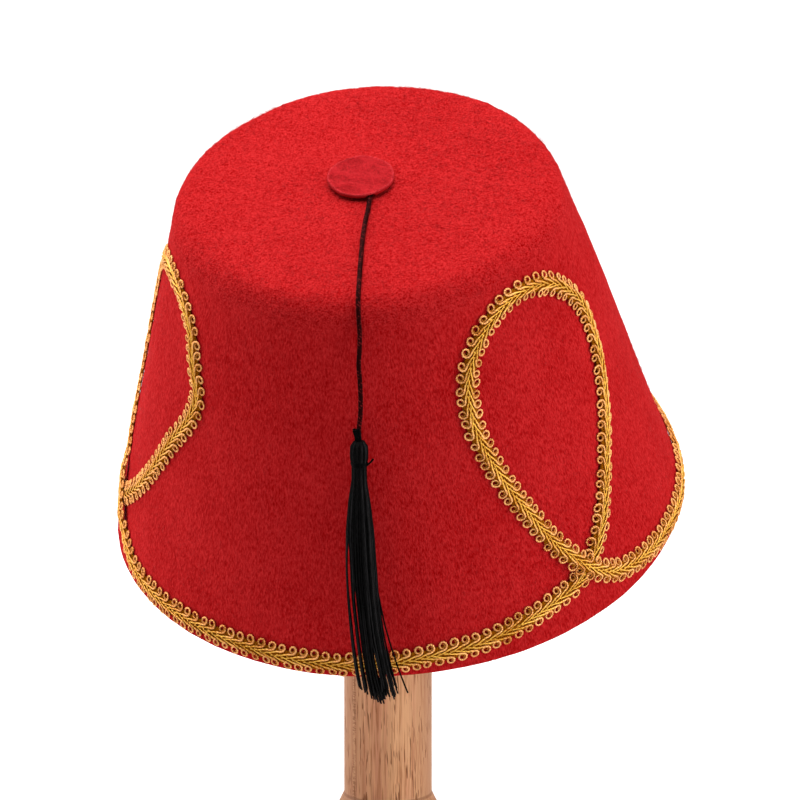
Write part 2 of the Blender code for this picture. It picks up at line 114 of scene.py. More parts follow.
CROSSES_OVER = 20  # the place, counted from 0, where it passes over its first strand
# The loops: degrees of the crossing round from the hat's front, to the right, and the places
LOOPS = ((-88, KINKED_LOOP), (41.2, TALL_LOOP), (140, TALL_LOOP))
ROUTE_SAMPLES = 12  # between two places
ROUTE_MARGIN = 3 * ROUTE_SAMPLES  # samples kept before and after one lap
SMOOTHING_RADIUS = 80 * MM
HEADING_REACH = 1.5 * MM  # the braid's heading is taken over so far to either side

# The gimp: scrolls of twisted cord branch from a core, like leaves from a stalk, along the way the braid runs
GIMP_OFF = 0.08 * MM  # how far off the felt it starts
GIMP_CORD_RADIUS = 0.36 * MM
STEM_SLIMNESS = 0.66  # share of that radius where a stem is pulled into the core
SCROLL_PITCH = 3.9 * MM
SCROLL_STEM = 7.6 * MM  # how far back along the braid a scroll's stem starts
SCROLL_STEM_START = -0.4 * MM  # how far off the middle it starts: it crosses over from the other side
SCROLL_RING = 1.33 * MM  # radius of the cord's middle in a scroll's ring
SCROLL_CLOSES = math.radians(520)  # how far round the cord goes, the last of it inside its own ring
SCROLL_CLOSING = 0.62  # share by which the ring has tightened at its end
STEM_RINGS = 5
CURL_RINGS = 14
GIMP_SIDES = 4
GIMP_STEP = 0.9 * MM
STEM_RISE = 0.42 * MM  # how far a stem rises over its neighbours before it dips into the ring
CURL_DIP = 0.2 * MM
RIDGE = 0.9 * MM  # how much higher the gimp stands along its middle than at its edges
RIDGE_HALF_WIDTH = 1 * MM  # how far off its middle it starts to fall away
PRESSED_SHARE = 0.8  # share of the ridge that is pressed flat at the kinked loop
PRESSED_TURN = math.radians(-85)
PRESSED_REACH = math.radians(42)
CORE_HALF_WIDTH = 2.5 * MM
CORE_THICKNESS = 0.35 * MM
CORE_STEP = 1.2 * MM
CORE_SIDES = 8
CORE_PLAIT = 2.6 * MM  # length of one cross-over in the core

# The felt button
BUTTON_RADIUS = 11.4 * MM
BUTTON_THICKNESS = 1.4 * MM
BUTTON_RAISED = 1.1 * MM
BUTTON_MIDDLE_RADIUS = 6 * MM
BUTTON_PLACE = np.array((-1.75, 4.3, 0)) * MM
BUTTON_SEGMENTS = 160
BUTTON_EDGE_WAVES = ((2, 0.018, 0.6), (3, 0.010, 2), (7, 0.006, 0))  # waves in a turn, share, phase
BUTTON_SHRUNK = 0.022  # share by which its edge is drawn in
PUFFS = (0.10 * MM, 6 * MM)  # height and size of the unevenness of its face
SPECKS = (0.04 * MM, 1.8 * MM)
GROOVE_PLACE = 2.5 * MM  # right of its middle, where the cord comes out from under its front edge
GROOVE_WIDTH = 1.8 * MM

# The cord, from under the button over the crown's front edge and down to the tassel
CORD_RADIUS = 0.75 * MM
# Its way over the crown: x, y in the hat's frame (mm)
CORD_ON_CROWN = (
    (1.1, -2.8), (0.7, -5.9), (0.25, -9), (-0.5, -13.5), (-1.6, -19), (-3.1, -28.5), (-4.2, -38),
    (-5.1, -46), (-5.8, -53),
)
CORD_EDGE_TURN = math.radians(-6.25)  # where it goes over the crown's edge, round from the front
CORD_EDGE_ANGLES = (78, 60, 42, 23)  # along the edge's arc, degrees above the rim's plane
# Its way down: x, z from where the edge lets it go (mm)
CORD_HANGING = ((0.3, -4), (0.3, -9), (0, -15), (0.4, -21), (0.6, -27), (0.5, -32), (0.1, -35.9))
CORD_IN_TASSEL = (2, 6, 12, 18, 24, 30, 36)  # it runs on down the tassel's middle: drops (mm)
CORD_RING_STEP = 0.24 * MM
CORD_SIDES = 18
CORD_PLIES = 3
CORD_LAY = 3.3 * MM  # length in which a ply goes once round

# The tassel's outside: drop from the knot's top, half-width, half-depth (mm)
TASSEL_BODY = (
    (0, 1.1, 1.1), (0.6, 1.5, 1.4), (3, 1.6, 1.5), (4.2, 1.5, 1.5), (4.9, 2.5, 2.4), (6.5, 2.9, 2.8),
    (9.5, 2.95, 2.9), (11.8, 2.65, 2.6), (12.8, 2.35, 2.35), (18, 2.45, 2.45), (25, 3.5, 3.3),
    (35, 4.5, 4.1), (50, 4.8, 4.3), (66, 4.9, 4.4), (80, 5.4, 4.6), (92, 5.9, 4.8),
)
TASSEL_SWAY = 7.4 * MM  # how far the hem has drifted to the right
TASSEL_SWAY_POWER = 3.4
TASSEL_LENGTH = 92 * MM
HEAD_TOP = 4.3 * MM  # drop at which the threads fold over
THREAD_RADIUS = 0.27 * MM
NECK_SLIMNESS = 0.72  # share of that radius in the head and the neck
THREAD_SIDES = 5
THREAD_RINGS = 30
THREAD_LAYERS = ((56, 0.95), (44, 0.74), (28, 0.48), (10, 0.2))  # how many, share of the tassel's radius
SKIRT_TOP = 18 * MM  # drop at which the threads come free of the neck
LOOSENS_OVER = 60 * MM  # drop over which they come to wander freely
NECK_FOOT = 14 * MM  # drop from which they swell to their full thickness
WANDER = (0.09, 17 * MM)  # share of the tassel's radius, and length
DRIFT = (0.10, 23 * MM)  # turn (radians), and length
THREADS_WITHOUT_HIGHLIGHT = 0.86  # share of the threads without painted highlight lines
# Where the hem's threads end: share of the half-width from left to right, drop (mm)
HEM_DROPS = (
    (-1, 86.5), (-0.6, 89), (-0.3, 89), (-0.1, 91.2), (0.15, 90.8), (0.3, 87.5), (0.55, 89.6),
    (0.85, 89.4), (1, 86.8),
)
HEM_RAGGED = 1.3 * MM
# Strands that stand apart: turn round the tassel (degrees, 0 to the right), share of the radius at the head,
# how far out of the skirt's outside they end (right, forward), drop where they leave it and of their end (mm)
STRAY_STRANDS = ((10, 0.95, 4, 0.6, 50, 88.6), (180, 0.98, -0.4, 0.2, 34, 87))
STRAY_EASE = 1.15  # power by which they ease away
# Where the skirt parts: share of the half-width, half of the gap, drops over which it opens and closes (mm)
PARTINGS = (
    (-0.86, 0.58, 34, 46, 90, 100),
    (-0.55, 0.42, 48, 58, 90, 100),
    (0.22, 0.50, 70, 77, 83, 90),
    (0.62, 0.45, 76, 86, 92, 100),
)
FILLED_TO = 52 * MM  # drop down to which the skirt is filled
FILLED_SHARE = 0.72  # of its half-width and half-depth
BINDING_DROP = 12.2 * MM
BINDING_TURNS = 4
BINDING_RADIUS = 0.22 * MM
BINDING_RINGS = 28  # in each turn
KNOT_ENDS = 20  # cut threads at the knot
BINDING_ENDS = 6  # and at the binding
CUT_END_RADIUS = 0.3 * MM

# The stand: a turned base, a plain post and a round knob inside the hat
POST_RADIUS = 14.7 * MM
POST_BEVEL = 0.3 * MM
POST_CLEAR = 3 * MM  # how far above the base's outline its rows start
KNOB_RADIUS = 25 * MM
KNOB_UNDERCUT = math.radians(40)
# The base's outline from its collar down to its foot: radius, height (mm)
BASE_OUTLINE = (
    (14.7, 39.4), (16.3, 36), (17.9, 32.4), (20.2, 28.2), (23.6, 24.4), (28.4, 21.6), (34.6, 19.6),
    (42, 18.2), (54, 16.8), (66, 16), (69.6, 15.2), (71.4, 13.4), (72, 11), (72, 4), (71.2, 1.4),
)
BASE_FOOT_RADIUS = 69.4 * MM
STAND_SEGMENTS = 160

# The camera: it looks down on the hat's middle, from the photograph's side
HAT_MIDDLE = Vector((-1.4, -5.7, 193)) * MM
CAMERA_DISTANCE = 4
CAMERA_DROP = math.radians(13)
PIXELS_PER_METRE = 3014
FRAME_SIDE = 800
HAT_MIDDLE_PIXEL = (383.7, 347.9)
SENSOR = 36
CAMERA_REACH = 50
# Soft boxes: name, place and target (m), width and height (m), power (W)
SOFT_BOXES = (
    ("top", (-0.1, -0.15, 1.3), (0, 0, 0.18), 0.9, 0.9, 17),
    ("left", (-1, 0.35, 0.6), (0, 0, 0.18), 0.9, 1.1, 14.7),
    ("right", (1.05, -0.35, 0.55), (0, 0, 0.18), 0.9, 1.1, 13.1),
    ("background", (0, 1.6, 1.3), (0, 1.6, 0), 1.6, 2.6, 34),
)
SKY = 0.12
FLOOR_REACH = 30

# Colours; tones are a dark and a light one
FELT_SHEEN = (1, 0.25, 0.22)
BUTTON_SHEEN = (1, 0.4, 0.4)
FELT_TONES = ((0.252, 0.0003, 0.0010), (0.462, 0.0165, 0.0180))
FIBRE_TONES = ((0.24, 0.002, 0.003), (0.52, 0.018, 0.020))
BUTTON_TONES = ((0.25, 0.002, 0.005), (0.42, 0.012, 0.016))
BUTTON_EDGE_HIGHLIGHT = (0.55, 0.036, 0.043)
BUTTON_SIDE_SHADE = (0.42, 0.004, 0.006)
SIDE_SHADE_FROM = 15 * MM  # place across the hat from where painted shade darkens the gold to both sides
SIDE_SHADE_SHARE = 0.3
RING_TONES = ((0.50, 0.14, 0.006), (1, 0.515, 0.185))
STEM_TONES = ((0.54, 0.19, 0.004), (1, 0.60, 0.10))
CURL_SHADE = (0.46, 0.145, 0.004)
CORE_TONES_AND_SHADE = ((0.125, 0.030, 0.0005), (0.38, 0.118, 0.004))
THREAD_BLACK_AND_HIGHLIGHT = ((0.0006, 0.0006, 0.0006), (0.016, 0.015, 0.0155))
CORD_BLACK_AND_GLINT = ((0.013, 0.0008, 0.0008), (0.15, 0.011, 0.012))
OAK_TAN = (0.69, 0.38, 0.195)
OAK_PINK = (0.63, 0.30, 0.165)
OAK_STREAK = (0.38, 0.145, 0.060)
OAK_BRIGHT = (0.82, 0.47, 0.25)
OAK_PORE = (0.16, 0.050, 0.017)
OAK_SIDE_SHADE_AND_FLARE = (0.36, 0.17, 0.085)
FLOOR_PALE = (0.80, 0.80, 0.80)


# Points


def joined(*columns):
    """Numbers put side by side, as the columns of points."""
    return np.stack(np.broadcast_arrays(*columns), axis=-1)


def turned(turn, radius, height):
    """Points at turns t round the axis, from the front to the right: radius sin t, -radius cos t, height."""
    return joined(radius * np.sin(turn), -radius * np.cos(turn), height)


def even_turns(count):
    """A full turn in even steps."""
    return np.arange(count) * TURN / count


def to_row(points):
    """Points of the hat's frame, put where the hat sits."""
    return points @ HAT_TURN.T + RIM_CENTRE


def unit(vectors):
    """Vectors brought to length one."""
    return vectors / np.linalg.norm(vectors, axis=-1, keepdims=True)


def ease(share):
    """A smooth step: 3 s^2 - 2 s^3, with s kept from 0 to 1."""
    share = np.clip(share, 0, 1)
    return share * share * (3 - 2 * share)


def soft_noise(points, size, seed, waves=28):
    """Smooth noise near -1 to 1: the sum of plane waves of about one length, in random ways and phases."""
    draw = np.random.default_rng(seed)
    ways = unit(draw.normal(size=(waves, 3))) * TURN / (size * draw.uniform(0.7, 1.6, (waves, 1)))
    total = np.zeros(points.shape[:-1])
    for way, phase in zip(ways, draw.uniform(0, TURN, waves)):
        total += np.sin(points @ way + phase)
    return total / math.sqrt(waves / 2)


def smooth_run(points, samples):
    """A smooth curve through points: a cubic between each two, its slopes weighted by their spacing."""
    steps = np.diff(points, axis=0)
    spans = np.linalg.norm(steps, axis=1)[:, None]
    pace = steps / spans
    slopes = np.vstack((pace[:1], pace))
    slopes[1:-1] = (pace[:-1] * spans[1:] + pace[1:] * spans[:-1]) / (spans[1:] + spans[:-1])
    t = np.linspace(0, 1, samples, endpoint=False)[None, :, None]
    curve = (
        (2 * t**3 - 3 * t**2 + 1) * points[:-1, None]
        + (t**3 - 2 * t**2 + t) * slopes[:-1, None] * spans[:, None]
        + (3 * t**2 - 2 * t**3) * points[1:, None]
        + (t**3 - t**2) * slopes[1:, None] * spans[:, None]
    )
    return np.vstack((curve.reshape(-1, points.shape[1]), points[-1:]))


def distances_along(curve):
    """How far each point of a curve lies along it."""
    return np.concatenate(([0], np.cumsum(np.linalg.norm(np.diff(curve, axis=0), axis=1))))


def read_at(curve, along, places):
    """Each column of a curve, read at places along it."""
    return joined(*(np.interp(places, along, column) for column in curve.T))


def crown_height(radius):
    """Height of the crown's outer face at a distance from the hat's axis."""
    return CAP_HEIGHT + CROWN_DOME * (1 - (radius / EDGE_CENTRE[0]) ** 2)


def wall_points(turn, up, off):
    """Points on the wall's outer face: turned from the front to the right, up along the wall and off it."""
    level, rise = WALL_OUT
    return turned(turn, RIM_RADIUS - up * rise + off * level, up * level + off * rise)


def felt_relief(points, on_crown):
    """How far the felt stands proud of its plain form: slow waves, lumps and, on the crown, tufts."""
    swell = SWELL[0] * soft_noise(points, SWELL[1], 1)
    lumps = LUMPS[0] * soft_noise(points, LUMPS[1], 2)
    return swell + lumps + TUFTS[0] * soft_noise(points, TUFTS[1], 3) * (0.25 + 0.75 * on_crown)


# Meshes


def six_volumes(points, faces):
    """Six times the volume that the faces enclose: positive if they face out."""
    total = 0
    for corners in faces:
        first = points[corners[:, 0]]
        for step in range(1, corners.shape[1] - 1):
            sweep = np.cross(points[corners[:, step]], points[corners[:, step + 1]])
            total += np.einsum("ij,ij->", first, sweep)
    return total


def make_mesh(name, points, faces, places=None, traits=None):
    """A smooth mesh from arrays of faces with equal corner counts; it is turned so that its faces point out.

    places are UV places of the corners, in arrays like the faces; traits are numbers kept at the points."""
    if six_volumes(points, faces) < 0:
        faces = [corners[:, ::-1] for corners in faces]
        places = places and [spots[:, ::-1] for spots in places]
    counts = np.concatenate([np.full(len(corners), corners.shape[1]) for corners in faces])
    mesh = bpy.data.meshes.new(name)
    mesh.vertices.add(len(points))
    mesh.vertices.foreach_set("co", points.astype(np.float32).ravel())
    corners = np.concatenate([rows.ravel() for rows in faces]).astype(np.int32)
    mesh.loops.add(len(corners))
    mesh.loops.foreach_set("vertex_index", corners)
    mesh.polygons.add(len(counts))
    mesh.polygons.foreach_set("loop_start", (np.cumsum(counts) - counts).astype(np.int32))
    mesh.update(calc_edges=True)
    if places:
        layer = mesh.uv_layers.new(name="UVMap")
        layer.data.foreach_set("uv", np.concatenate([spots.ravel() for spots in places]).astype(np.float32))
    for trait, numbers in (traits or {}).items():
        layer = mesh.attributes.new(trait, "FLOAT", "POINT")
        layer.data.foreach_set("value", numbers.astype(np.float32).ravel())
    mesh.shade_smooth()
    return mesh


def put(name, data):
    """A new object in the scene."""
    thing = bpy.data.objects.new(name, data)
    bpy.context.scene.collection.objects.link(thing)
    return thing


def add_piece(mesh, finish, slot, replaces=()):
    """Put a mesh into the scene as a piece that rides with the hat and its stand."""
    piece = put(mesh.name, mesh)
    mesh.materials.append(finish.material)
    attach(piece, "root")
    if replaces:
        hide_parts(*replaces)
    return piece


def tube_faces(count, rings, sides, closed=False):
    """The quads along equal tubes, their UV places (rings along, share round) and the tubes' end faces."""
    grid = np.arange(count * rings * sides).reshape(count, rings, sides)
    behind = grid if closed else grid[:, :-1]
    ahead = np.roll(grid, -1, axis=1)[:, : behind.shape[1]]
    quads = joined(behind, np.roll(behind, -1, axis=2), np.roll(ahead, -1, axis=2), ahead).reshape(-1, 4)
    row, column = np.indices(behind.shape[1:])
    steps = ((0, 0), (0, 1), (1, 1), (1, 0))
    spots = np.stack([joined(row + on, (column + round_by) / sides) for on, round_by in steps], axis=-2)
    places = np.broadcast_to(spots, (count,) + spots.shape).reshape(-1, 4, 2)
    if closed:
        return [quads], [places]
    ends = np.concatenate((grid[:, 0, ::-1], grid[:, -1]))
    return [quads, ends], [places, np.zeros((len(ends), sides, 2))]


def tubes_mesh(name, paths, radius, sides, lift, step, traits=None):
    """Many equal tubes in one mesh: path + radius * (cos a * side + sin a * up) at angles a round each path,
    where up is at right angles to the path, on the side that lift points to. paths is (tube, ring, xyz). UV u
    is in metres along each (step for each ring) and v goes once round it. A trait's numbers spread over
    (tube, ring, side)."""
    along = unit(np.gradient(paths, axis=1))
    side = unit(np.cross(along, lift))
    up = np.cross(side, along)
    angle = even_turns(sides)[:, None]
    reach = np.broadcast_to(radius, paths.shape[:2] + (sides,))[..., None]
    rings = paths[:, :, None] + reach * (np.cos(angle) * side[:, :, None] + np.sin(angle) * up[:, :, None])
    faces, places = tube_faces(len(paths), paths.shape[1], sides)
    places = [spots * (step, 1) for spots in places]
    spread = {trait: np.broadcast_to(numbers, rings.shape[:3]) for trait, numbers in (traits or {}).items()}
    return make_mesh(name, rings.reshape(-1, 3), faces, places, spread)


def lathe_mesh(name, body, first_pole, last_pole, traits=None):
    """Rings of points, an array of (ring, corner, xyz), skinned and closed at two poles by triangles."""
    rows, corners, _ = body.shape
    grid = np.arange(rows * corners).reshape(rows, corners)
    beside = np.roll(grid, -1, axis=1)
    quads = joined(grid[:-1], beside[:-1], beside[1:], grid[1:]).reshape(-1, 4)
    first, last = rows * corners, rows * corners + 1
    fans = np.vstack((joined(beside[0], grid[0], first), joined(grid[-1], beside[-1], last)))
    points = np.vstack((body.reshape(-1, 3), first_pole, last_pole))
    return make_mesh(name, points, [quads, fans], traits=traits)


def turned_mesh(name, outline):
    """An outline of radius and height turned about Z, its first and last points poles on the axis."""
    body = turned(even_turns(STAND_SEGMENTS), outline[1:-1, :1], outline[1:-1, 1:])
    return lathe_mesh(name, body, (0, 0, outline[0, 1]), (0, 0, outline[-1, 1]))


# Finishes


def maths(operation):
    """A method of Value that adds one Math node."""

    def add_node(first, *others):
        inputs = dict(enumerate((first, *others)))
        return first.finish.read("ShaderNodeMath", {"operation": operation}, inputs)

    return add_node


class Value:
    """A number on a node's socket; an expression on values adds its Math nodes."""

    __add__ = __radd__ = maths("ADD")
    __sub__ = maths("SUBTRACT")
    __mul__ = __rmul__ = maths("MULTIPLY")
    __truediv__ = maths("DIVIDE")
    sine = maths("SINE")
    most = maths("MAXIMUM")

    def __init__(self, finish, socket):
        self.finish = finish
        self.socket = socket

    def __rsub__(self, other):
        return self * -1 + other

    def step(self, low, high):
        """0 below low, 1 above high, smooth between; low may be above high."""
        inputs = {0: self, 1: low, 2: high, 3: 0, 4: 1}
        return self.finish.read("ShaderNodeMapRange", {"interpolation_type": "SMOOTHSTEP"}, inputs)


class Finish:
    """A material with one Principled shader. Every node but the Math ones is made by node() or read()."""

    def __init__(self, name, **constants):
        self.material = bpy.data.materials.new(name)
        self.material.use_nodes = True
        self.tree = self.material.node_tree
        self.shader = self.tree.nodes["Principled BSDF"]
        for socket, number in constants.items():
            self.shader.inputs[socket.replace("_", " ").title().replace("Ior", "IOR")].default_value = number

    def node(self, kind, settings, inputs):
        """A node: its settings, then each input: a number, a colour or a link from a Value or socket."""
        made = self.tree.nodes.new(kind)
        for setting, choice in settings.items():
            setattr(made, setting, choice)
        for key, given in inputs.items():
            self.feed(made.inputs[key], given)
        return made

    def feed(self, socket, given):
        """Link a Value or a socket to an input, or set it."""
        given = getattr(given, "socket", given)
        if isinstance(given, bpy.types.NodeSocket):
            self.tree.links.new(given, socket)
        elif isinstance(given, tuple) and len(given) == 3 and socket.type == "RGBA":
            socket.default_value = (*given, 1)
        else:
            socket.default_value = given

    def read(self, kind, settings, inputs, output=0):
        """One output of a new node, as a Value."""
        return Value(self, self.node(kind, settings, inputs).outputs[output])

    def mapped(self, place, moves):
        """A place that is moved, turned or stretched."""
        return self.node("ShaderNodeMapping", {}, {"Vector": place, **moves}).outputs[0]

    def place(self, scale=(1, 1, 1)):
        """Object coordinates, stretched."""
        return self.mapped(self.node("ShaderNodeTexCoord", {}, {}).outputs["Object"], {"Scale": scale})

    def hat_place(self, scale=(1, 1, 1)):
        """Coordinates in the hat's frame, stretched after that."""
        back = Matrix(HAT_TURN.T.tolist())
        moves = {"Location": tuple(-(back @ Vector(RIM_CENTRE))), "Rotation": tuple(back.to_euler("XYZ"))}
        spot = self.node("ShaderNodeTexCoord", {}, {}).outputs["Object"]
        return self.mapped(self.mapped(spot, moves), {"Scale": scale})

    def noise(self, place, scale, detail=2, roughness=0.5, distortion=0):
        """Noise from about 0.25 to 0.75, by a number of lumps in each metre."""
        inputs = {"Vector": place, "Scale": scale, "Detail": detail, "Roughness": roughness}
        return self.read("ShaderNodeTexNoise", {}, {**inputs, "Distortion": distortion})

    def winding(self, length, starts):
        """Threads wound round a tube, 0 to 1 across each: 0.5 + 0.5 sin(2 pi (u / length + starts * v))."""
        along, around, _ = self.split(self.node("ShaderNodeUVMap", {}, {}).outputs[0])
        return ((along / length + around * starts) * TURN).sine() * 0.5 + 0.5

    def split(self, place):
        """The three numbers of a place."""
        parts = self.node("ShaderNodeSeparateXYZ", {}, {0: place})
        return [Value(self, parts.outputs[axis]) for axis in range(3)]

    def mix(self, share, first, second):
        """A colour between two."""
        inputs = {0: share, 6: first, 7: second}
        return self.node("ShaderNodeMix", {"data_type": "RGBA"}, inputs).outputs[2]

    def trait(self, name):
        """A number kept at the mesh's points."""
        return self.read("ShaderNodeAttribute", {"attribute_name": name}, {}, "Fac")

    def relief(self, height, distance, strength):
        """Bump from a height, in metres for each unit."""
        bump = self.node("ShaderNodeBump", {}, {"Height": height, "Distance": distance, "Strength": strength})
        self.feed(self.shader.inputs["Normal"], bump.outputs[0])

    def colour(self, given):
        self.feed(self.shader.inputs["Base Color"], given)

    def rough(self, given):
        self.feed(self.shader.inputs["Roughness"], given)


def felt_finish():
    """Red wool felt: curly, clumped nap on the crown, finer and streaked up the wall."""
    felt = Finish(
        "red_felt", roughness=0.95, sheen_weight=0.006, sheen_roughness=0.5, specular_ior_level=0.02
    )
    felt.shader.inputs["Sheen Tint"].default_value = (*FELT_SHEEN, 1)
    plain = felt.hat_place()
    on_crown = felt.split(plain)[2].step(NAP_FROM - 2 * MM, NAP_FULL)
    curls = felt.noise(plain, 1650, 2, 0.55, 1.3)
    clumps = felt.noise(plain, 520, 2, 0.5, 0.5)
    streaks = felt.noise(felt.hat_place((1, 1, 0.3)), 1900, 2, 0.6, 0.3)
    cloud = felt.noise(plain, 45, 3)
    nap = (curls * 1.2 + clumps * 0.1 - 0.13) * on_crown + (streaks * 0.8 + clumps * 0.2) * (1 - on_crown)
    light = ((nap - 0.5) * (1.75 + 1.5 * on_crown) + 0.5 + (cloud - 0.5) * 0.3).step(0.1, 0.9)
    felt.colour(felt.mix(light, *FELT_TONES))
    felt.relief(nap, 0.6 * MM, 0.6)
    return felt


def fibre_finish():
    """Loose wool fibres, each a little lighter or darker than the felt."""
    fibre = Finish("red_fibre", roughness=0.85, specular_ior_level=0.1)
    fibre.colour(fibre.mix(fibre.trait("shade"), *FIBRE_TONES))
    return fibre


def button_finish():
    """Pressed felt with darker patches, a painted highlight along its edge and painted shade on its deep red
    cut side.
    """
    button = Finish(
        "button_felt", roughness=0.95, sheen_weight=0.02, sheen_roughness=0.6, specular_ior_level=0.06
    )
    button.shader.inputs["Sheen Tint"].default_value = (*BUTTON_SHEEN, 1)
    plain = button.hat_place()
    patches = button.noise(plain, 210, 4, 0.65, 1.2)
    tangle = button.noise(button.hat_place((1, 0.5, 1)), 1900, 3, 0.7, 2)
    light = (patches * 0.4 + tangle * 1.9 - 0.65).step(0.15, 0.85)
    tone = button.mix(light, *BUTTON_TONES)
    # Painted highlight round the top of the edge, then painted shade on the cut side and underside.
    tone = button.mix(button.trait("edge") * tangle.step(0.35, 0.7), tone, BUTTON_EDGE_HIGHLIGHT)
    button.colour(button.mix(button.trait("side"), tone, BUTTON_SIDE_SHADE))
    button.relief(tangle + patches, 0.35 * MM, 0.6)
    return button


def gimp_finish():
    """Glossy gold rayon wound round a cord: fine slanting windings, yellow on the stems, pinkish on the rings
    and in shade where a ring's cord has curled inside it, with painted glints; painted shade darkens it towards
    the hat's sides, most to the left."""
    gimp = Finish("gold_gimp", metallic=0.45, specular_ior_level=0.12)
    winding = gimp.winding(0.8 * MM, 1)
    way = gimp.trait("way")
    # Painted glints: a fine noise lightens the gold's colour in small spots.
    painted_glint = gimp.noise(gimp.place(), 900, 2, 0.6)
    light = (gimp.trait("shade") * 0.5 + winding * 0.3 + painted_glint * 0.9 - 0.24).step(0.05, 0.9)
    ring = gimp.mix(light, *RING_TONES)
    tone = gimp.mix(way.step(0.1, -0.45), ring, gimp.mix(light, *STEM_TONES))
    tone = gimp.mix(way.step(0.56, 0.78) * 0.8, tone, CURL_SHADE)
    # Painted shade: the gold grows darker away from the front towards the hat's sides, most to the left.
    shade_across = (gimp.split(gimp.hat_place())[0] - SIDE_SHADE_FROM) / RIM_RADIUS
    gimp.colour(gimp.mix(shade_across * shade_across * SIDE_SHADE_SHARE, tone, RING_TONES[0]))
    gimp.rough(0.5 - 0.14 * winding)
    gimp.relief(winding, 0.14 * MM, 0.8)
    return gimp


def core_finish():
    """The gimp's backing: dull dark gold thread, plaited across; its dark tones also stand in as painted shade
    in the rings' middles and between the scrolls.
    """
    core = Finish("gimp_core", roughness=0.8, specular_ior_level=0)
    plait = core.winding(0.7 * MM, 3)
    grain = core.noise(core.place(), 1200)
    # Dark tones for the plaited core threads and, in part, painted shade inside and between the rings.
    core.colour(core.mix(plait * 0.7 + grain * 0.4 - 0.1, *CORE_TONES_AND_SHADE))
    core.relief(plait, 0.12 * MM, 0.8)
    return core


def thread_finish():
    """Black rayon thread: deep black with fine lengthwise filaments and painted highlight lines, strongest on a
    few of the threads.
    """
    thread = Finish("black_thread", specular_ior_level=0.022)
    filament = thread.winding(2.4 * MM, 4)
    grain = thread.noise(thread.place((1, 1, 0.15)), 1500)
    # Painted highlight lines along the filaments, strongest on the threads whose shade trait is 1.
    light = (filament * 0.3 + grain * 0.9 - 0.35) * (0.2 + 2.4 * thread.trait("shade"))
    thread.colour(thread.mix(light, *THREAD_BLACK_AND_HIGHLIGHT))
    thread.rough(0.3 + 0.3 * grain)
    thread.relief(filament + grain, 0.05 * MM, 0.6)
    return thread


def cord_finish():
    """Black twisted cord: painted reddish brown glints on its plies' tops in places, deep black between them.
    """
    cord = Finish("cord_thread", specular_ior_level=0.015)
    top = cord.trait("lobe").step(0.55, 0.97)
    grain = cord.noise(cord.place(), 900)
    # Painted glints: reddish brown on the plies' tops, where the grain lets it show.
    cord.colour(cord.mix(top * grain.step(0.5, 0.6), *CORD_BLACK_AND_GLINT))
    cord.rough(0.8 - 0.45 * top)
    cord.relief(grain, 0.08 * MM, 0.5)
    return cord


def oak_finish():
    """Open-grained oak, the grain along the post: tan and pinkish bands, fine bright and dark lines, short
    slanting dark pores and a thin ladder of ray flecks down the left of the front. Painted shade darkens the
    post towards its left and right sides, and the flare is darker. A dark line marks the joint at the flare,
    where the end grain starts."""
    oak = Finish("oak", roughness=0.6, specular_ior_level=0.12)
    x, y, z = oak.split(oak.place())
    slanting = oak.node("ShaderNodeCombineXYZ", {}, {0: x + z * 0.05, 1: y, 2: z * 0.08}).outputs[0]
    bands = oak.noise(oak.place((1, 1, 0.05)), 150, 3, 0.6, 0.5)
    streaks = oak.noise(oak.place((1, 1, 0.03)), 640, 3, 0.65, 0.6)
    lines = oak.noise(oak.place((1, 1, 0.035)), 1900, 2, 0.6, 0.2)
    pores = oak.noise(slanting, 1700, 1, 0.5, 0.2)
    strewn = oak.noise(oak.place((1, 1, 0.3)), 170)
    pore = pores.step(0.41, 0.34) * strewn.step(0.36, 0.55)
    left = x * -1
    # Painted shade: the post grows darker towards its left and right sides.
    outer = left.most(x).step(4 * MM, 14.5 * MM)
    ray = left.step(10.5 * MM, 10.9 * MM) * left.step(12 * MM, 11.6 * MM)
    rungs = oak.noise(oak.place((0.3, 0.3, 1)), 2300, 2, 0.6).step(0.54, 0.44) * ray * strewn.step(0.35, 0.5)
    flare = z.step(39.6 * MM, 38.6 * MM) * z.step(15 * MM, 34 * MM)
    joint = z.step(38.5 * MM, 39 * MM) * z.step(39.9 * MM, 39.4 * MM)
    tone = oak.mix(bands.step(0.40, 0.60), OAK_PINK, OAK_TAN)
    tone = oak.mix(streaks.step(0.52, 0.66) * 0.6, tone, OAK_BRIGHT)
    tone = oak.mix(streaks.step(0.49, 0.36) * 0.55, tone, OAK_STREAK)
    tone = oak.mix(lines.step(0.48, 0.34) * 0.75, tone, OAK_STREAK)
    # Painted shade on the post's sides; the flare is darker too.
    tone = oak.mix((outer * 0.75).most(flare * 0.7), tone, OAK_SIDE_SHADE_AND_FLARE)
    oak.colour(oak.mix((pore * 0.8).most(rungs * 0.55).most(joint * 0.5), tone, OAK_PORE))
    oak.rough(0.55 + 0.2 * pore)
    oak.relief(0.6 * lines - pore, 0.12 * MM, 0.6)
    return oak


def floor_finish():
    """A plain pale floor."""
    floor = Finish("pale_floor", roughness=0.9, specular_ior_level=0.1)
    lighter = tuple(tone + 0.01 for tone in FLOOR_PALE)
    floor.colour(floor.mix(floor.noise(floor.place(), 3), FLOOR_PALE, lighter))
    return floor


# The camera


def aim(thing, target):
    """Turn a camera or a light to look at a point, level from side to side."""
    thing.rotation_mode = "QUATERNION"
    thing.rotation_quaternion = (target - thing.location).to_track_quat("-Z", "Y")


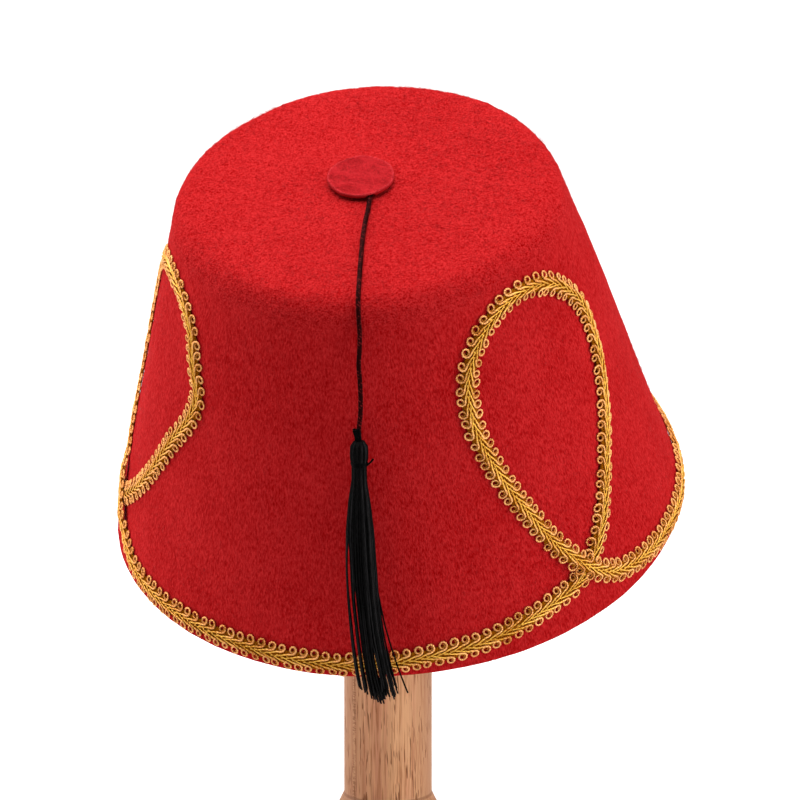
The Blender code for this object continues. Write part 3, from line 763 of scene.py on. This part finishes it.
def make_camera():
    """A long lens at the photograph's height and side, with the hat's middle on its own pixel."""
    level, steep = math.cos(CAMERA_DROP), math.sin(CAMERA_DROP)
    right_of, below = ((FRAME_SIDE / 2 - pixel) / PIXELS_PER_METRE for pixel in HAT_MIDDLE_PIXEL)
    data = bpy.data.cameras.new("camera")
    data.sensor_width = SENSOR
    data.lens = SENSOR * CAMERA_DISTANCE * PIXELS_PER_METRE / FRAME_SIDE
    data.clip_end = CAMERA_REACH
    camera = put("camera", data)
    camera.location = HAT_MIDDLE + CAMERA_DISTANCE * Vector((0, -level, steep))
    aim(camera, HAT_MIDDLE + Vector((right_of, -below * steep, -below * level)))
    bpy.context.scene.camera = camera


# The cord and the tassel


def cord_route():
    """The cord's own points: over the crown, round its edge, then down to the tassel's knot."""
    x, y = np.array(CORD_ON_CROWN).T * MM
    over_crown = joined(x, y, crown_height(np.hypot(x, y)) + GAP + CORD_RADIUS)
    angle = np.radians(CORD_EDGE_ANGLES)
    reach = CROWN_EDGE_RADIUS + GAP + CORD_RADIUS
    radius, height = EDGE_CENTRE[0] + reach * np.cos(angle), EDGE_CENTRE[1] + reach * np.sin(angle)
    on_hat = to_row(np.vstack((over_crown, turned(CORD_EDGE_TURN, radius, height))))
    x, z = np.array(CORD_HANGING).T * MM
    return np.vstack((on_hat, on_hat[-1] + joined(x, 0, z)))


def make_cord(route, hang, finish):
    """Three plies twisted together: a lobed section, its lobes' tops at the cord's radius, that turns along
    the path. From the tassel's knot the cord runs on down the tassel's middle, which hangs from it."""
    drop = np.array(CORD_IN_TASSEL) * MM
    inside = hang + joined(tassel_middle(drop), 0, -drop)
    curve = smooth_run(np.vstack((route, inside)), ROUTE_SAMPLES)
    along = distances_along(curve)
    length = along[-1]
    count = round(length / CORD_RING_STEP)
    places = np.linspace(0, length, count)
    path = read_at(curve, along, places)
    twisted = even_turns(CORD_SIDES) - places[:, None] * TURN / CORD_LAY
    lobe = np.abs(np.cos(twisted * CORD_PLIES / 2))
    radius = CORD_RADIUS * (0.80 + 0.30 * lobe**0.7)
    right = np.array((1, 0, 0))
    mesh = tubes_mesh("twisted_cord", path[None], radius, CORD_SIDES, right, length / count, {"lobe": lobe})
    return add_piece(mesh, finish, "black_thread", ["tassel_cord"]), path, length


def tassel_middle(drop):
    """How far the tassel's middle has swayed to the right at a drop below its knot."""
    return TASSEL_SWAY * (drop / TASSEL_LENGTH) ** TASSEL_SWAY_POWER


def tassel_sizes(drop):
    """The tassel's half-width and half-depth at a drop."""
    drops, half_widths, half_depths = np.array(TASSEL_BODY).T * MM
    return np.interp(drop, drops, half_widths), np.interp(drop, drops, half_depths)


def hanging_place(turn, share, drop):
    """A point of the tassel: its swayed middle plus a share of its half-width and half-depth at a turn."""
    half_width, half_depth = tassel_sizes(drop)
    return joined(
        tassel_middle(drop) + share * half_width * np.cos(turn),
        -share * half_depth * np.sin(turn),
        -drop,
    )


def part_threads(paths, drop):
    """Threads kept off each parting, on the side where they mostly lie: at a distance d from it they are
    moved to sqrt(d^2 + half^2), as far as the parting is open."""
    half_width, _ = tassel_sizes(drop)
    for share, half_gap, opens, open_at, closes, closed_at in PARTINGS:
        apart = paths[..., 0] - tassel_middle(drop) - share * half_width
        wide = ease((drop / MM - opens) / (open_at - opens))
        wide *= ease((closed_at - drop / MM) / (closed_at - closes))
        side = np.where(apart.mean(axis=1, keepdims=True) < 0, -1, 1)
        moved = side * np.hypot(np.maximum(side * apart, 0), half_gap * MM)
        paths[..., 0] += wide * (moved - apart)
    return paths


def threads_mesh(name, paths, radius, turn, drops, traits=None):
    """Tubes of thread down the tassel, their sections set out from its middle at turns round it; drops are
    how far each runs down."""
    outward = joined(np.cos(turn), -np.sin(turn), 0)
    return tubes_mesh(name, paths, radius, THREAD_SIDES, outward, drops.mean() / (THREAD_RINGS - 1), traits)


def make_threads(hang, finish):
    """The tassel's threads in layers: each runs down the tassel's outside at its own share of the radius, a
    little wavy, thinner under the binding, to its own end in the ragged hem."""
    draw = np.random.default_rng(11)
    turns, shares = [], []
    for count, share in THREAD_LAYERS:
        uneven = draw.uniform(-0.35, 0.35, count) * TURN / count
        turns.append(even_turns(count) + uneven + draw.uniform(0, TURN))
        shares.append(share + draw.uniform(-0.05, 0.05, count))
    turn, share = np.concatenate(turns)[:, None], np.concatenate(shares)[:, None]
    end = np.interp(share * np.cos(turn), *np.array(HEM_DROPS).T) * MM
    end += draw.uniform(-1, 1, turn.shape) * HEM_RAGGED
    drop = HEAD_TOP + np.linspace(0, 1, THREAD_RINGS) ** 1.15 * (end - HEAD_TOP)
    loose = ease((drop - SKIRT_TOP) / LOOSENS_OVER)
    phase, pace, twist = draw.uniform(0, TURN, (3, *turn.shape))
    wander = WANDER[0] * loose * np.sin(drop / WANDER[1] * (0.7 + pace / TURN) + phase)
    drift = DRIFT[0] * loose * np.sin(drop / DRIFT[1] + twist)
    paths = part_threads(hanging_place(turn + drift, share + wander, drop), drop) + hang
    below_neck = ease((drop - NECK_FOOT) / (12 * MM))
    radius = THREAD_RADIUS * (NECK_SLIMNESS + (1 - NECK_SLIMNESS) * below_neck)[..., None]
    # A few threads get painted highlight lines: their shade trait is 1.
    highlight_draw = draw.uniform(0, 1, turn.shape)
    shade = np.where(highlight_draw > THREADS_WITHOUT_HIGHLIGHT, 1, 0.3 * draw.uniform(0, 1, turn.shape))
    mesh = threads_mesh("tassel_threads", paths, radius, turn, end - HEAD_TOP, {"shade": shade[..., None]})
    return add_piece(mesh, finish, "black_thread", ["tassel"])


def make_strays(hang, finish):
    """The strands that stand apart from the skirt: they follow it, then ease away by a power of the drop."""
    turn, share, right, forward, leaves, end = np.array(STRAY_STRANDS).T[..., None]
    turn = np.radians(turn)
    run = end * MM - SKIRT_TOP
    drop = SKIRT_TOP + np.linspace(0, 1, THREAD_RINGS) * run
    apart = np.clip((drop / MM - leaves) / (end - leaves), 0, 1) ** STRAY_EASE
    away = joined(right * apart, -forward * apart, 0) * MM
    paths = hanging_place(turn, share, drop) + away + hang
    mesh = threads_mesh("stray_strands", paths, 1.1 * THREAD_RADIUS, turn, run)
    return add_piece(mesh, finish, "black_thread")


def make_tassel_core(hang, finish):
    """What fills the tassel behind its threads, down to where they hang loose: its outside drawn in."""
    drop = np.append(HEAD_TOP, np.linspace(4.9 * MM, FILLED_TO, 40))
    share = FILLED_SHARE * ease((FILLED_TO + 4 * MM - drop) / (30 * MM))
    body = hanging_place(-even_turns(24), share[:, None], drop[:, None]) + hang
    top, foot = (0, 0, -HEAD_TOP), (tassel_middle(drop[-1]), 0, -drop[-1] - GAP)
    return add_piece(lathe_mesh("tassel_core", body, top + hang, foot + hang), finish, "black_thread")


def make_binding(hang, finish):
    """The thread wound round the neck: a helix of a few turns on the tassel's outside."""
    count = BINDING_TURNS * BINDING_RINGS
    run = np.linspace(0, 1, count)
    drop = BINDING_DROP + (run - 0.5) * BINDING_TURNS * 1.8 * BINDING_RADIUS
    half_width, _ = tassel_sizes(drop)
    path = hanging_place(run * TURN * BINDING_TURNS, 1 + 0.06 * BINDING_RADIUS / half_width, drop) + hang
    step = BINDING_TURNS * TURN * half_width.mean() / count
    mesh = tubes_mesh("neck_binding", path[None], BINDING_RADIUS, 6, UPWARD, step)
    return add_piece(mesh, finish, "black_thread")


def bowed(root, tip, bow):
    """Paths from roots to tips: root + (tip - root) * s + bow * sin(pi s), for s from 0 to 1."""
    run = np.linspace(0, 1, 7)[:, None]
    return root[:, None] + (tip - root)[:, None] * run + np.sin(run * math.pi) * bow


def make_cut_ends(hang, finish):
    """Two tufts of cut thread (mm from the knot's top): the knot's ends, which lean up to the left beside the
    cord, and the binding's, which stand out to the right."""
    draw = np.random.default_rng(5)
    wide, deep = draw.uniform(-1, 1, (KNOT_ENDS, 2)).T
    root = joined(0.95 * wide - 0.25, 0.8 * deep, -5.4)
    tip = joined(1.15 * wide - 0.95, 0.9 * deep, -0.25 + draw.uniform(-0.5, 0.15, KNOT_ENDS) + 0.25 * wide)
    knot = bowed(root, tip, (0.25, 0, 0))
    high, deep = draw.uniform(-1, 1, (BINDING_ENDS, 2)).T * 0.32
    root = joined(2.1, deep - 0.9, high - 12.4)
    tip = root + joined(2.5 + 0.5 * high, 0.4 * deep, 2.3 - 0.9 * high)
    paths = np.concatenate((knot, bowed(root, tip, (0.066, 0, -0.22)))) * MM + hang
    mesh = tubes_mesh("cut_ends", paths, CUT_END_RADIUS, THREAD_SIDES, np.array((0, -1, 0)), 0.8 * MM)
    return add_piece(mesh, finish, "black_thread")


# The felt


def cap_profile(inset, rows):
    """One face of the cap from its rim to its axis, as radius and height, and the way out of it there."""
    wall_rows, edge_rows, crown_rows = rows
    cut = CUT_EDGE if inset == 0 else CUT_EDGE * 0.9
    wall_top = EDGE_CENTRE + (CROWN_EDGE_RADIUS - inset) * WALL_OUT
    foot = np.array((RIM_RADIUS - inset / WALL_OUT[0], 0))
    foot += (wall_top - foot) * cut / wall_top[1]
    wall = foot + np.linspace(0, 1, wall_rows, endpoint=False)[:, None] * (wall_top - foot)
    angle = np.linspace(WALL_SLOPE, math.pi / 2, edge_rows, endpoint=False)
    edge_out = joined(np.cos(angle), np.sin(angle))
    edge = EDGE_CENTRE + (CROWN_EDGE_RADIUS - inset) * edge_out
    radius = EDGE_CENTRE[0] * (1 - np.linspace(0, 1, crown_rows))
    crown = joined(radius, crown_height(radius) - inset)
    out = np.vstack((np.tile(WALL_OUT, (wall_rows, 1)), edge_out, np.tile((0, 1), (crown_rows, 1))))
    return np.vstack((wall, edge, crown)), out


def rim_profile(outer_foot, inner_foot):
    """The cut rim between the two faces: half of a flattened oval from the inner foot to the outer one."""
    middle = (outer_foot + inner_foot) / 2
    half = (outer_foot - inner_foot) / 2
    angle = np.radians(CUT_EDGE_ANGLES)
    out = joined(np.cos(angle), -np.sin(angle))
    return middle + joined(half[0] * np.cos(angle), -middle[1] * np.sin(angle) ** 0.5), out


def make_felt(finish):
    """Crown and wall, outside and inside, as one turned surface whose points move along their normals."""
    outer, outer_out = cap_profile(0, OUTSIDE_ROWS)
    inner, inner_out = cap_profile(FELT, INSIDE_ROWS)
    rim, rim_out = rim_profile(outer[0], inner[0])
    turn = even_turns(CAP_SEGMENTS)
    points = turned(turn, *np.vstack((inner[::-1], rim, outer)).T[..., None])
    ways = turned(turn, *np.vstack((-inner_out[::-1], rim_out, outer_out)).T[..., None])
    unevenness = np.repeat(UNEVENNESS, (len(inner), len(rim), len(outer)))[:, None]
    on_crown = ease((points[..., 2] - NAP_FROM) / (NAP_FULL - NAP_FROM))
    relief = felt_relief(points, on_crown) * unevenness
    points = to_row(points + relief[..., None] * ways)
    mesh = lathe_mesh("blocked_felt", points[1:-1], points[0].mean(axis=0), points[-1].mean(axis=0))
    return add_piece(mesh, finish, "red_felt", ["felt_shell"])


def any_way(out, draw):
    """Random directions along a surface whose way out is given."""
    return unit(np.cross(draw.normal(size=out.shape), out))


def add_fibres(name, look, roots, way, out, lengths, lifts, draw):
    """Loose fibres: short bent slivers of three sides, thickest at their roots, with their tips at
    root + length * way + lift * out + bend * side.

    lengths (mm) and lifts (shares of a length) are a least and a most; look is the finish and the slot."""
    count = len(roots)
    length = draw.uniform(*lengths, (count, 1)) * MM
    lift = length * draw.uniform(*lifts, (count, 1))
    side = unit(np.cross(way, out))
    bend = draw.normal(0, 0.35, (count, 1)) * length
    middle = roots + 0.5 * length * way + 0.62 * lift * out + 0.22 * bend * side
    tip = roots + length * way + lift * out + bend * side
    roots = roots - FIBRE_SUNK * out
    angle = even_turns(3)[:, None]
    ring = np.cos(angle) * side[:, None] + np.sin(angle) * out[:, None]
    thick = FIBRE_RADIUS * draw.uniform(0.7, 1.25, (count, 1, 1))
    rings = np.stack((roots[:, None] + thick * ring, middle[:, None] + 0.85 * thick * ring), axis=1)
    grid = np.arange(count * 6).reshape(count, 2, 3)
    beside = np.roll(grid, -1, axis=2)
    quads = joined(grid[:, 0], beside[:, 0], beside[:, 1], grid[:, 1]).reshape(-1, 4)
    tips = joined(grid[:, 1], beside[:, 1], count * 6 + np.arange(count)[:, None]).reshape(-1, 3)
    shade = draw.uniform(0, 1, count)
    points = to_row(np.vstack((rings.reshape(-1, 3), tip)))
    traits = {"shade": np.append(np.repeat(shade, 6), shade)}
    return add_piece(make_mesh(name, points, [quads, tips, grid[:, 0, ::-1]], traits=traits), *look)


def make_crown_fibres(finish):
    """Loose fibres on the crown and its round edge: lying every way, most of them nearly flat."""
    draw = np.random.default_rng(21)
    radius = (EDGE_CENTRE[0] + CROWN_EDGE_RADIUS) * np.sqrt(draw.uniform(0, 1, FIBRES))
    turn = draw.uniform(0, TURN, FIBRES)
    level = np.clip((radius - EDGE_CENTRE[0]) / CROWN_EDGE_RADIUS, 0, FIBRES_ROUND_EDGE)
    rising = np.sqrt(1 - level**2)
    flat = crown_height(np.minimum(radius, EDGE_CENTRE[0]))
    height = np.where(level > 0, EDGE_CENTRE[1] + CROWN_EDGE_RADIUS * rising, flat)
    radius = np.minimum(radius, EDGE_CENTRE[0] + FIBRES_ROUND_EDGE * CROWN_EDGE_RADIUS)
    roots, out = turned(turn, radius, height), turned(turn, level, rising)
    look = (finish, "red_felt")
    return add_fibres("crown_fibres", look, roots, any_way(out, draw), out, (0.6, 2.1), (0.05, 0.34), draw)


def make_wall_fibres(finish):
    """Loose fibres on the wall: shorter, and brushed mostly up and down it."""
    draw = np.random.default_rng(22)
    turn = draw.uniform(0, TURN, FIBRES)
    up = (CAP_HEIGHT / WALL_OUT[0] - EDGE_REACH) * draw.uniform(0, 1, FIBRES) ** 1.08
    out = turned(turn, *WALL_OUT)
    level = joined(np.cos(turn), np.sin(turn), 0)
    lean = draw.normal(0, 0.6, (FIBRES, 1))
    way = unit(np.sign(draw.uniform(-1, 1, (FIBRES, 1))) * (np.cross(out, level) + lean * level))
    look = (finish, "red_felt")
    return add_fibres("wall_fibres", look, wall_points(turn, up, 0), way, out, (0.5, 1.6), (0.04, 0.28), draw)


# The button


def button_profile():
    """The button's outline, radius and height, from the axis below round its edge to the axis on top."""
    half = BUTTON_THICKNESS / 2
    bevel = BUTTON_THICKNESS / 3
    shoulder = BUTTON_RADIUS - bevel
    angle = np.linspace(-math.pi / 2, math.pi / 2, 11)[1:-1]
    return np.vstack(
        (
            ((0, GAP), (BUTTON_MIDDLE_RADIUS, GAP)),
            joined(np.linspace(BUTTON_MIDDLE_RADIUS + 0.6 * MM, shoulder, 12), BUTTON_RAISED),
            joined(shoulder + bevel * np.cos(angle), BUTTON_RAISED + half + half * np.sin(angle)),
            joined(np.linspace(shoulder, 0, 34), BUTTON_RAISED + BUTTON_THICKNESS),
        )
    )


def make_button(finish):
    """The felt disc: turned, its edge uneven, its face puffed and its underside grooved over the cord."""
    outline = button_profile()
    ends = outline[[0, -1], 1]
    radius, height = outline[1:-1].T[..., None]
    turn = even_turns(BUTTON_SEGMENTS)
    uneven = sum(share * np.sin(waves * turn + phase) for waves, share, phase in BUTTON_EDGE_WAVES)
    points = turned(turn, radius * (1 + (radius / BUTTON_RADIUS) ** 4 * (uneven - BUTTON_SHRUNK)), height)
    x, y, z = np.moveaxis(points, -1, 0)
    beside = ease(2 - np.abs(x - GROOVE_PLACE) / (0.5 * GROOVE_WIDTH))
    beside *= ease((-y - BUTTON_MIDDLE_RADIUS) / MM)
    groove = 2 * CORD_RADIUS + 2 * GAP
    z = np.maximum(z, z + (groove - z) * beside)
    points[..., 2] = z
    puffs = PUFFS[0] * soft_noise(points, PUFFS[1], 8) + SPECKS[0] * soft_noise(points, SPECKS[1], 9)
    points[..., 2] += puffs * (z > BUTTON_RAISED + 0.2 * MM)
    share = np.append(np.broadcast_to(radius / BUTTON_RADIUS, z.shape), (0, 0))
    proud = (np.append(z, ends) - BUTTON_RAISED) / BUTTON_THICKNESS
    # edge marks where the painted highlight goes, side where the painted shade goes.
    traits = {
        "edge": ease((share - 0.91) / 0.05) * ease((proud - 0.6) / 0.2),
        "side": ease((0.62 - proud) / 0.25),
    }
    place = BUTTON_PLACE + crown_height(0) * UPWARD
    low, high = to_row(place + ends[:, None] * UPWARD)
    mesh = lathe_mesh("pressed_button", to_row(points + place), low, high, traits)
    return add_piece(mesh, finish, "button_felt", ["felt_button"])


def make_button_fibres(finish):
    """Loose fibres on the button's face and edge."""
    draw = np.random.default_rng(23)
    radius = (BUTTON_RADIUS - 0.3 * MM) * draw.uniform(0, 1, FIBRES_ON_BUTTON) ** 0.42
    turn = draw.uniform(0, TURN, FIBRES_ON_BUTTON)
    roots = turned(turn, radius, crown_height(0) + BUTTON_RAISED + BUTTON_THICKNESS) + BUTTON_PLACE
    out = np.broadcast_to(UPWARD, roots.shape)
    look = (finish, "button_felt")
    return add_fibres("button_fibres", look, roots, any_way(out, draw), out, (0.5, 1.5), (0.05, 0.25), draw)


# The braid


class Braid:
    """The braid's run on the wall, which puts points along it, across it and off it into the hat's frame.

    Its curve of turn and up is smooth through the loops' places, over one lap and a little at each end."""

    def __init__(self):
        places = [(math.radians(crossing + turn), up * MM) for crossing, loop in LOOPS for turn, up in loop]
        laps = np.vstack([np.array(places) + (lap * TURN, 0) for lap in (-1, 0, 1)])
        curve = smooth_run(laps * (SMOOTHING_RADIUS, 1), ROUTE_SAMPLES) / (SMOOTHING_RADIUS, 1)
        lap = len(places) * ROUTE_SAMPLES
        self.curve = curve[lap - ROUTE_MARGIN : 2 * lap + ROUTE_MARGIN + 1]
        along = distances_along(wall_points(*self.curve.T, 0))
        self.along = along - along[ROUTE_MARGIN]
        self.length = self.along[ROUTE_MARGIN + lap]
        loop_ends = np.cumsum([len(loop) for _, loop in LOOPS])
        over = CROSSES_OVER + np.append(0, loop_ends[:-1])
        self.crossings = self.along[ROUTE_MARGIN + over * ROUTE_SAMPLES]

    def lift(self, places):
        """How far the braid rises to pass over itself: full near a crossing, easing down to nothing."""
        apart = np.abs((places % self.length)[..., None] - self.crossings)
        nearest = np.minimum(apart, self.length - apart).min(axis=-1)
        return CROSSING_LIFT * ease((CROSSING_FOOT - nearest) / (CROSSING_FOOT - CROSSING_FLAT))

    def ridge(self, places, across):
        """How far the gimp is raised at a distance off its middle: all of RIDGE near the middle, nothing at
        its edges, less by a share of exp(-(turn / reach)^2) round the kinked loop."""
        turn = np.interp(places, self.along, self.curve[:, 0])
        pressed = PRESSED_SHARE * np.exp(-(((turn - PRESSED_TURN) / PRESSED_REACH) ** 2))
        fall = BRAID_WIDTH / 2 - RIDGE_HALF_WIDTH
        return RIDGE * (1 - pressed) * np.clip((BRAID_WIDTH / 2 - np.abs(across)) / fall, 0, 1)

    def points(self, places, across, off):
        """Points at places along the run, across to its left and off the felt, and the way out there."""
        behind, here, ahead = (
            read_at(self.curve, self.along, places + reach) for reach in (-HEADING_REACH, 0, HEADING_REACH)
        )
        turn, up = here[..., 0], here[..., 1]
        radius = RIM_RADIUS - up * WALL_OUT[1]
        heading = unit((ahead - behind) * joined(radius, 1))
        turn = turn - heading[..., 1] * across / radius
        up = up + heading[..., 0] * across
        uneven = felt_relief(wall_points(turn, up, 0), 0)
        return wall_points(turn, up, off + uneven + self.lift(places)), turned(turn, *WALL_OUT)


def make_scrolls(braid, finish):
    """The gimp's scrolls, a row down each side. With u along the braid and v off its middle, a scroll's stem
    is v = start + (inner - start) * ease(1 + u / stem) for u from -stem to 0. Its ring is u = r sin a and
    v = middle - r cos a, where a runs past a full turn and r shrinks, so the cord ends inside its own ring.
    It starts low, rises over its neighbours' stems and dips again as its ring closes, on the band's ridge."""
    draw = np.random.default_rng(31)
    count = round(braid.length / SCROLL_PITCH)
    pitch = braid.length / count
    stem = np.linspace(-1, 0, STEM_RINGS, endpoint=False)
    curl = np.linspace(0, SCROLL_CLOSES, CURL_RINGS)
    closed = curl / SCROLL_CLOSES
    rise = STEM_RISE * np.append(ease((1 + stem) * 1.6), 1 - ease(curl / math.pi * 1.05))
    dip = CURL_DIP * np.append(0 * stem, closed**2)
    rows = []
    for side in (-1, 1):
        jitter = draw.normal(0, 1, (5, count, 1))
        start = (np.arange(count)[:, None] + 0.25 * side) * pitch + 0.16 * MM * jitter[0]
        ring = SCROLL_RING * (1 + 0.07 * np.clip(jitter[1], -2, 2))
        middle = BRAID_WIDTH / 2 - GIMP_CORD_RADIUS - SCROLL_RING + 0.10 * MM * jitter[2]
        leaning = 0.13 * jitter[3]
        stem_v = SCROLL_STEM_START + (middle - ring - SCROLL_STEM_START) * ease(1 + stem)
        reach = ring * (1 - SCROLL_CLOSING * closed**2)
        curl_u = reach * (np.sin(curl) + leaning * (1 - np.cos(curl)))
        u = np.hstack((np.tile(stem * SCROLL_STEM, (count, 1)), curl_u))
        v = np.hstack((stem_v, middle - reach * np.cos(curl)))
        ridge = braid.ridge(start + u, v)
        off = GIMP_OFF + GIMP_CORD_RADIUS + ridge + rise - dip + 0.03 * MM * jitter[4]
        rows.append(braid.points(start + u, side * v, off))
    shade = np.clip(draw.normal(0.5, 0.22, (2 * count, 1, 1)), 0, 1)
    spots, lifts = (np.concatenate(both) for both in zip(*rows))
    swelling = STEM_SLIMNESS + (1 - STEM_SLIMNESS) * ease((stem + 0.45) / 0.45)
    radius = GIMP_CORD_RADIUS * np.append(swelling, 1 - 0.35 * closed**3)[:, None]
    traits = {"shade": shade, "way": np.append(stem, closed)[:, None]}
    lifts = lifts @ HAT_TURN.T
    mesh = tubes_mesh("gimp_scrolls", to_row(spots), radius, GIMP_SIDES, lifts, GIMP_STEP, traits)
    return add_piece(mesh, finish, "gold_gimp", ["gold_braid"])


def make_gimp_core(braid, finish):
    """The core that the scrolls branch from: a flat closed band, its edges scalloped by its plait."""
    count = round(braid.length / CORE_STEP)
    places = np.linspace(0, braid.length, count, endpoint=False)[:, None]
    angle = even_turns(CORE_SIDES)
    scallop = 1 + 0.12 * np.sin(places * TURN / CORE_PLAIT)
    thickness = CORE_THICKNESS + braid.ridge(places, 0)
    off = GIMP_OFF + thickness / 2 * (1 + np.sin(angle))
    points, _ = braid.points(places, CORE_HALF_WIDTH * scallop * np.cos(angle), off)
    faces, spots = tube_faces(1, count, CORE_SIDES, closed=True)
    spots = [place * (CORE_STEP, 1) for place in spots]
    mesh = make_mesh("gimp_core", to_row(points).reshape(-1, 3), faces, spots)
    return add_piece(mesh, finish, "gold_gimp")


# The stand


def make_stand(finish):
    """Base, post and knob, turned as the solids are, with many more sides and softened corners. Base and post
    are one mesh here; the joint between them is a dark line in the finish."""
    base = smooth_run(np.array(BASE_OUTLINE) * MM, 4)[::-1]
    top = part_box("stand_post")[1].z
    height = np.linspace(base[-1, 1] + POST_CLEAR, top - POST_BEVEL, 44)
    foot, crest = ((0, 0), (BASE_FOOT_RADIUS, 0)), ((POST_RADIUS - POST_BEVEL, top), (0, top))
    outline = np.vstack((foot, base, joined(POST_RADIUS, height), crest))
    add_piece(turned_mesh("turned_stand", outline), finish, "oak", ["stand_base", "stand_post"])
    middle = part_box("stand_knob")[1].z - KNOB_RADIUS
    angle = np.linspace(-KNOB_UNDERCUT, math.pi / 2, 40)
    ball = joined(KNOB_RADIUS * np.cos(angle), middle + KNOB_RADIUS * np.sin(angle))
    outline = np.vstack(((0, ball[0, 1]), ball[:-1], (0, ball[-1, 1])))
    add_piece(turned_mesh("turned_knob", outline), finish, "oak", ["stand_knob"])


# The studio


def make_floor():
    """A wide pale floor under the stand."""
    mesh = bpy.data.meshes.new("floor")
    corners = [(x * FLOOR_REACH, y * FLOOR_REACH, 0) for x, y in ((-1, -1), (1, -1), (1, 1), (-1, 1))]
    mesh.from_pydata(corners, [], [(0, 1, 2, 3)])
    mesh.materials.append(floor_finish().material)
    put("floor", mesh)


def make_light():
    """Large soft boxes round the hat and an even pale sky."""
    for name, place, target, width, height, power in SOFT_BOXES:
        data = bpy.data.lights.new(name, "AREA")
        data.shape = "RECTANGLE"
        data.size, data.size_y, data.energy = width, height, power
        lamp = put(name, data)
        lamp.location = place
        aim(lamp, Vector(target))
    world = bpy.data.worlds.new("sky")
    world.use_nodes = True
    background = world.node_tree.nodes["Background"]
    background.inputs["Color"].default_value = (1, 1, 1, 1)
    background.inputs["Strength"].default_value = SKY
    bpy.context.scene.world = world
    bpy.context.scene.view_settings.view_transform = "Standard"


def make_scene():
    """The camera and the cord first, then every other piece, then the studio."""
    make_camera()
    black = thread_finish()
    route = cord_route()
    hang = route[-1] - (0.0, 0.0, GAP)
    cord, path, length = make_cord(route, hang, cord_finish())
    parts = (make_threads, make_strays, make_tassel_core, make_binding, make_cut_ends)
    tassel = [make(hang, black) for make in parts]
    make_felt(felt_finish())
    loose = fibre_finish()
    make_crown_fibres(loose)
    make_wall_fibres(loose)
    make_button(button_finish())
    make_button_fibres(loose)
    braid = Braid()
    make_scrolls(braid, gimp_finish())
    make_gimp_core(braid, core_finish())
    make_stand(oak_finish())
    make_floor()
    make_light()


make_scene()
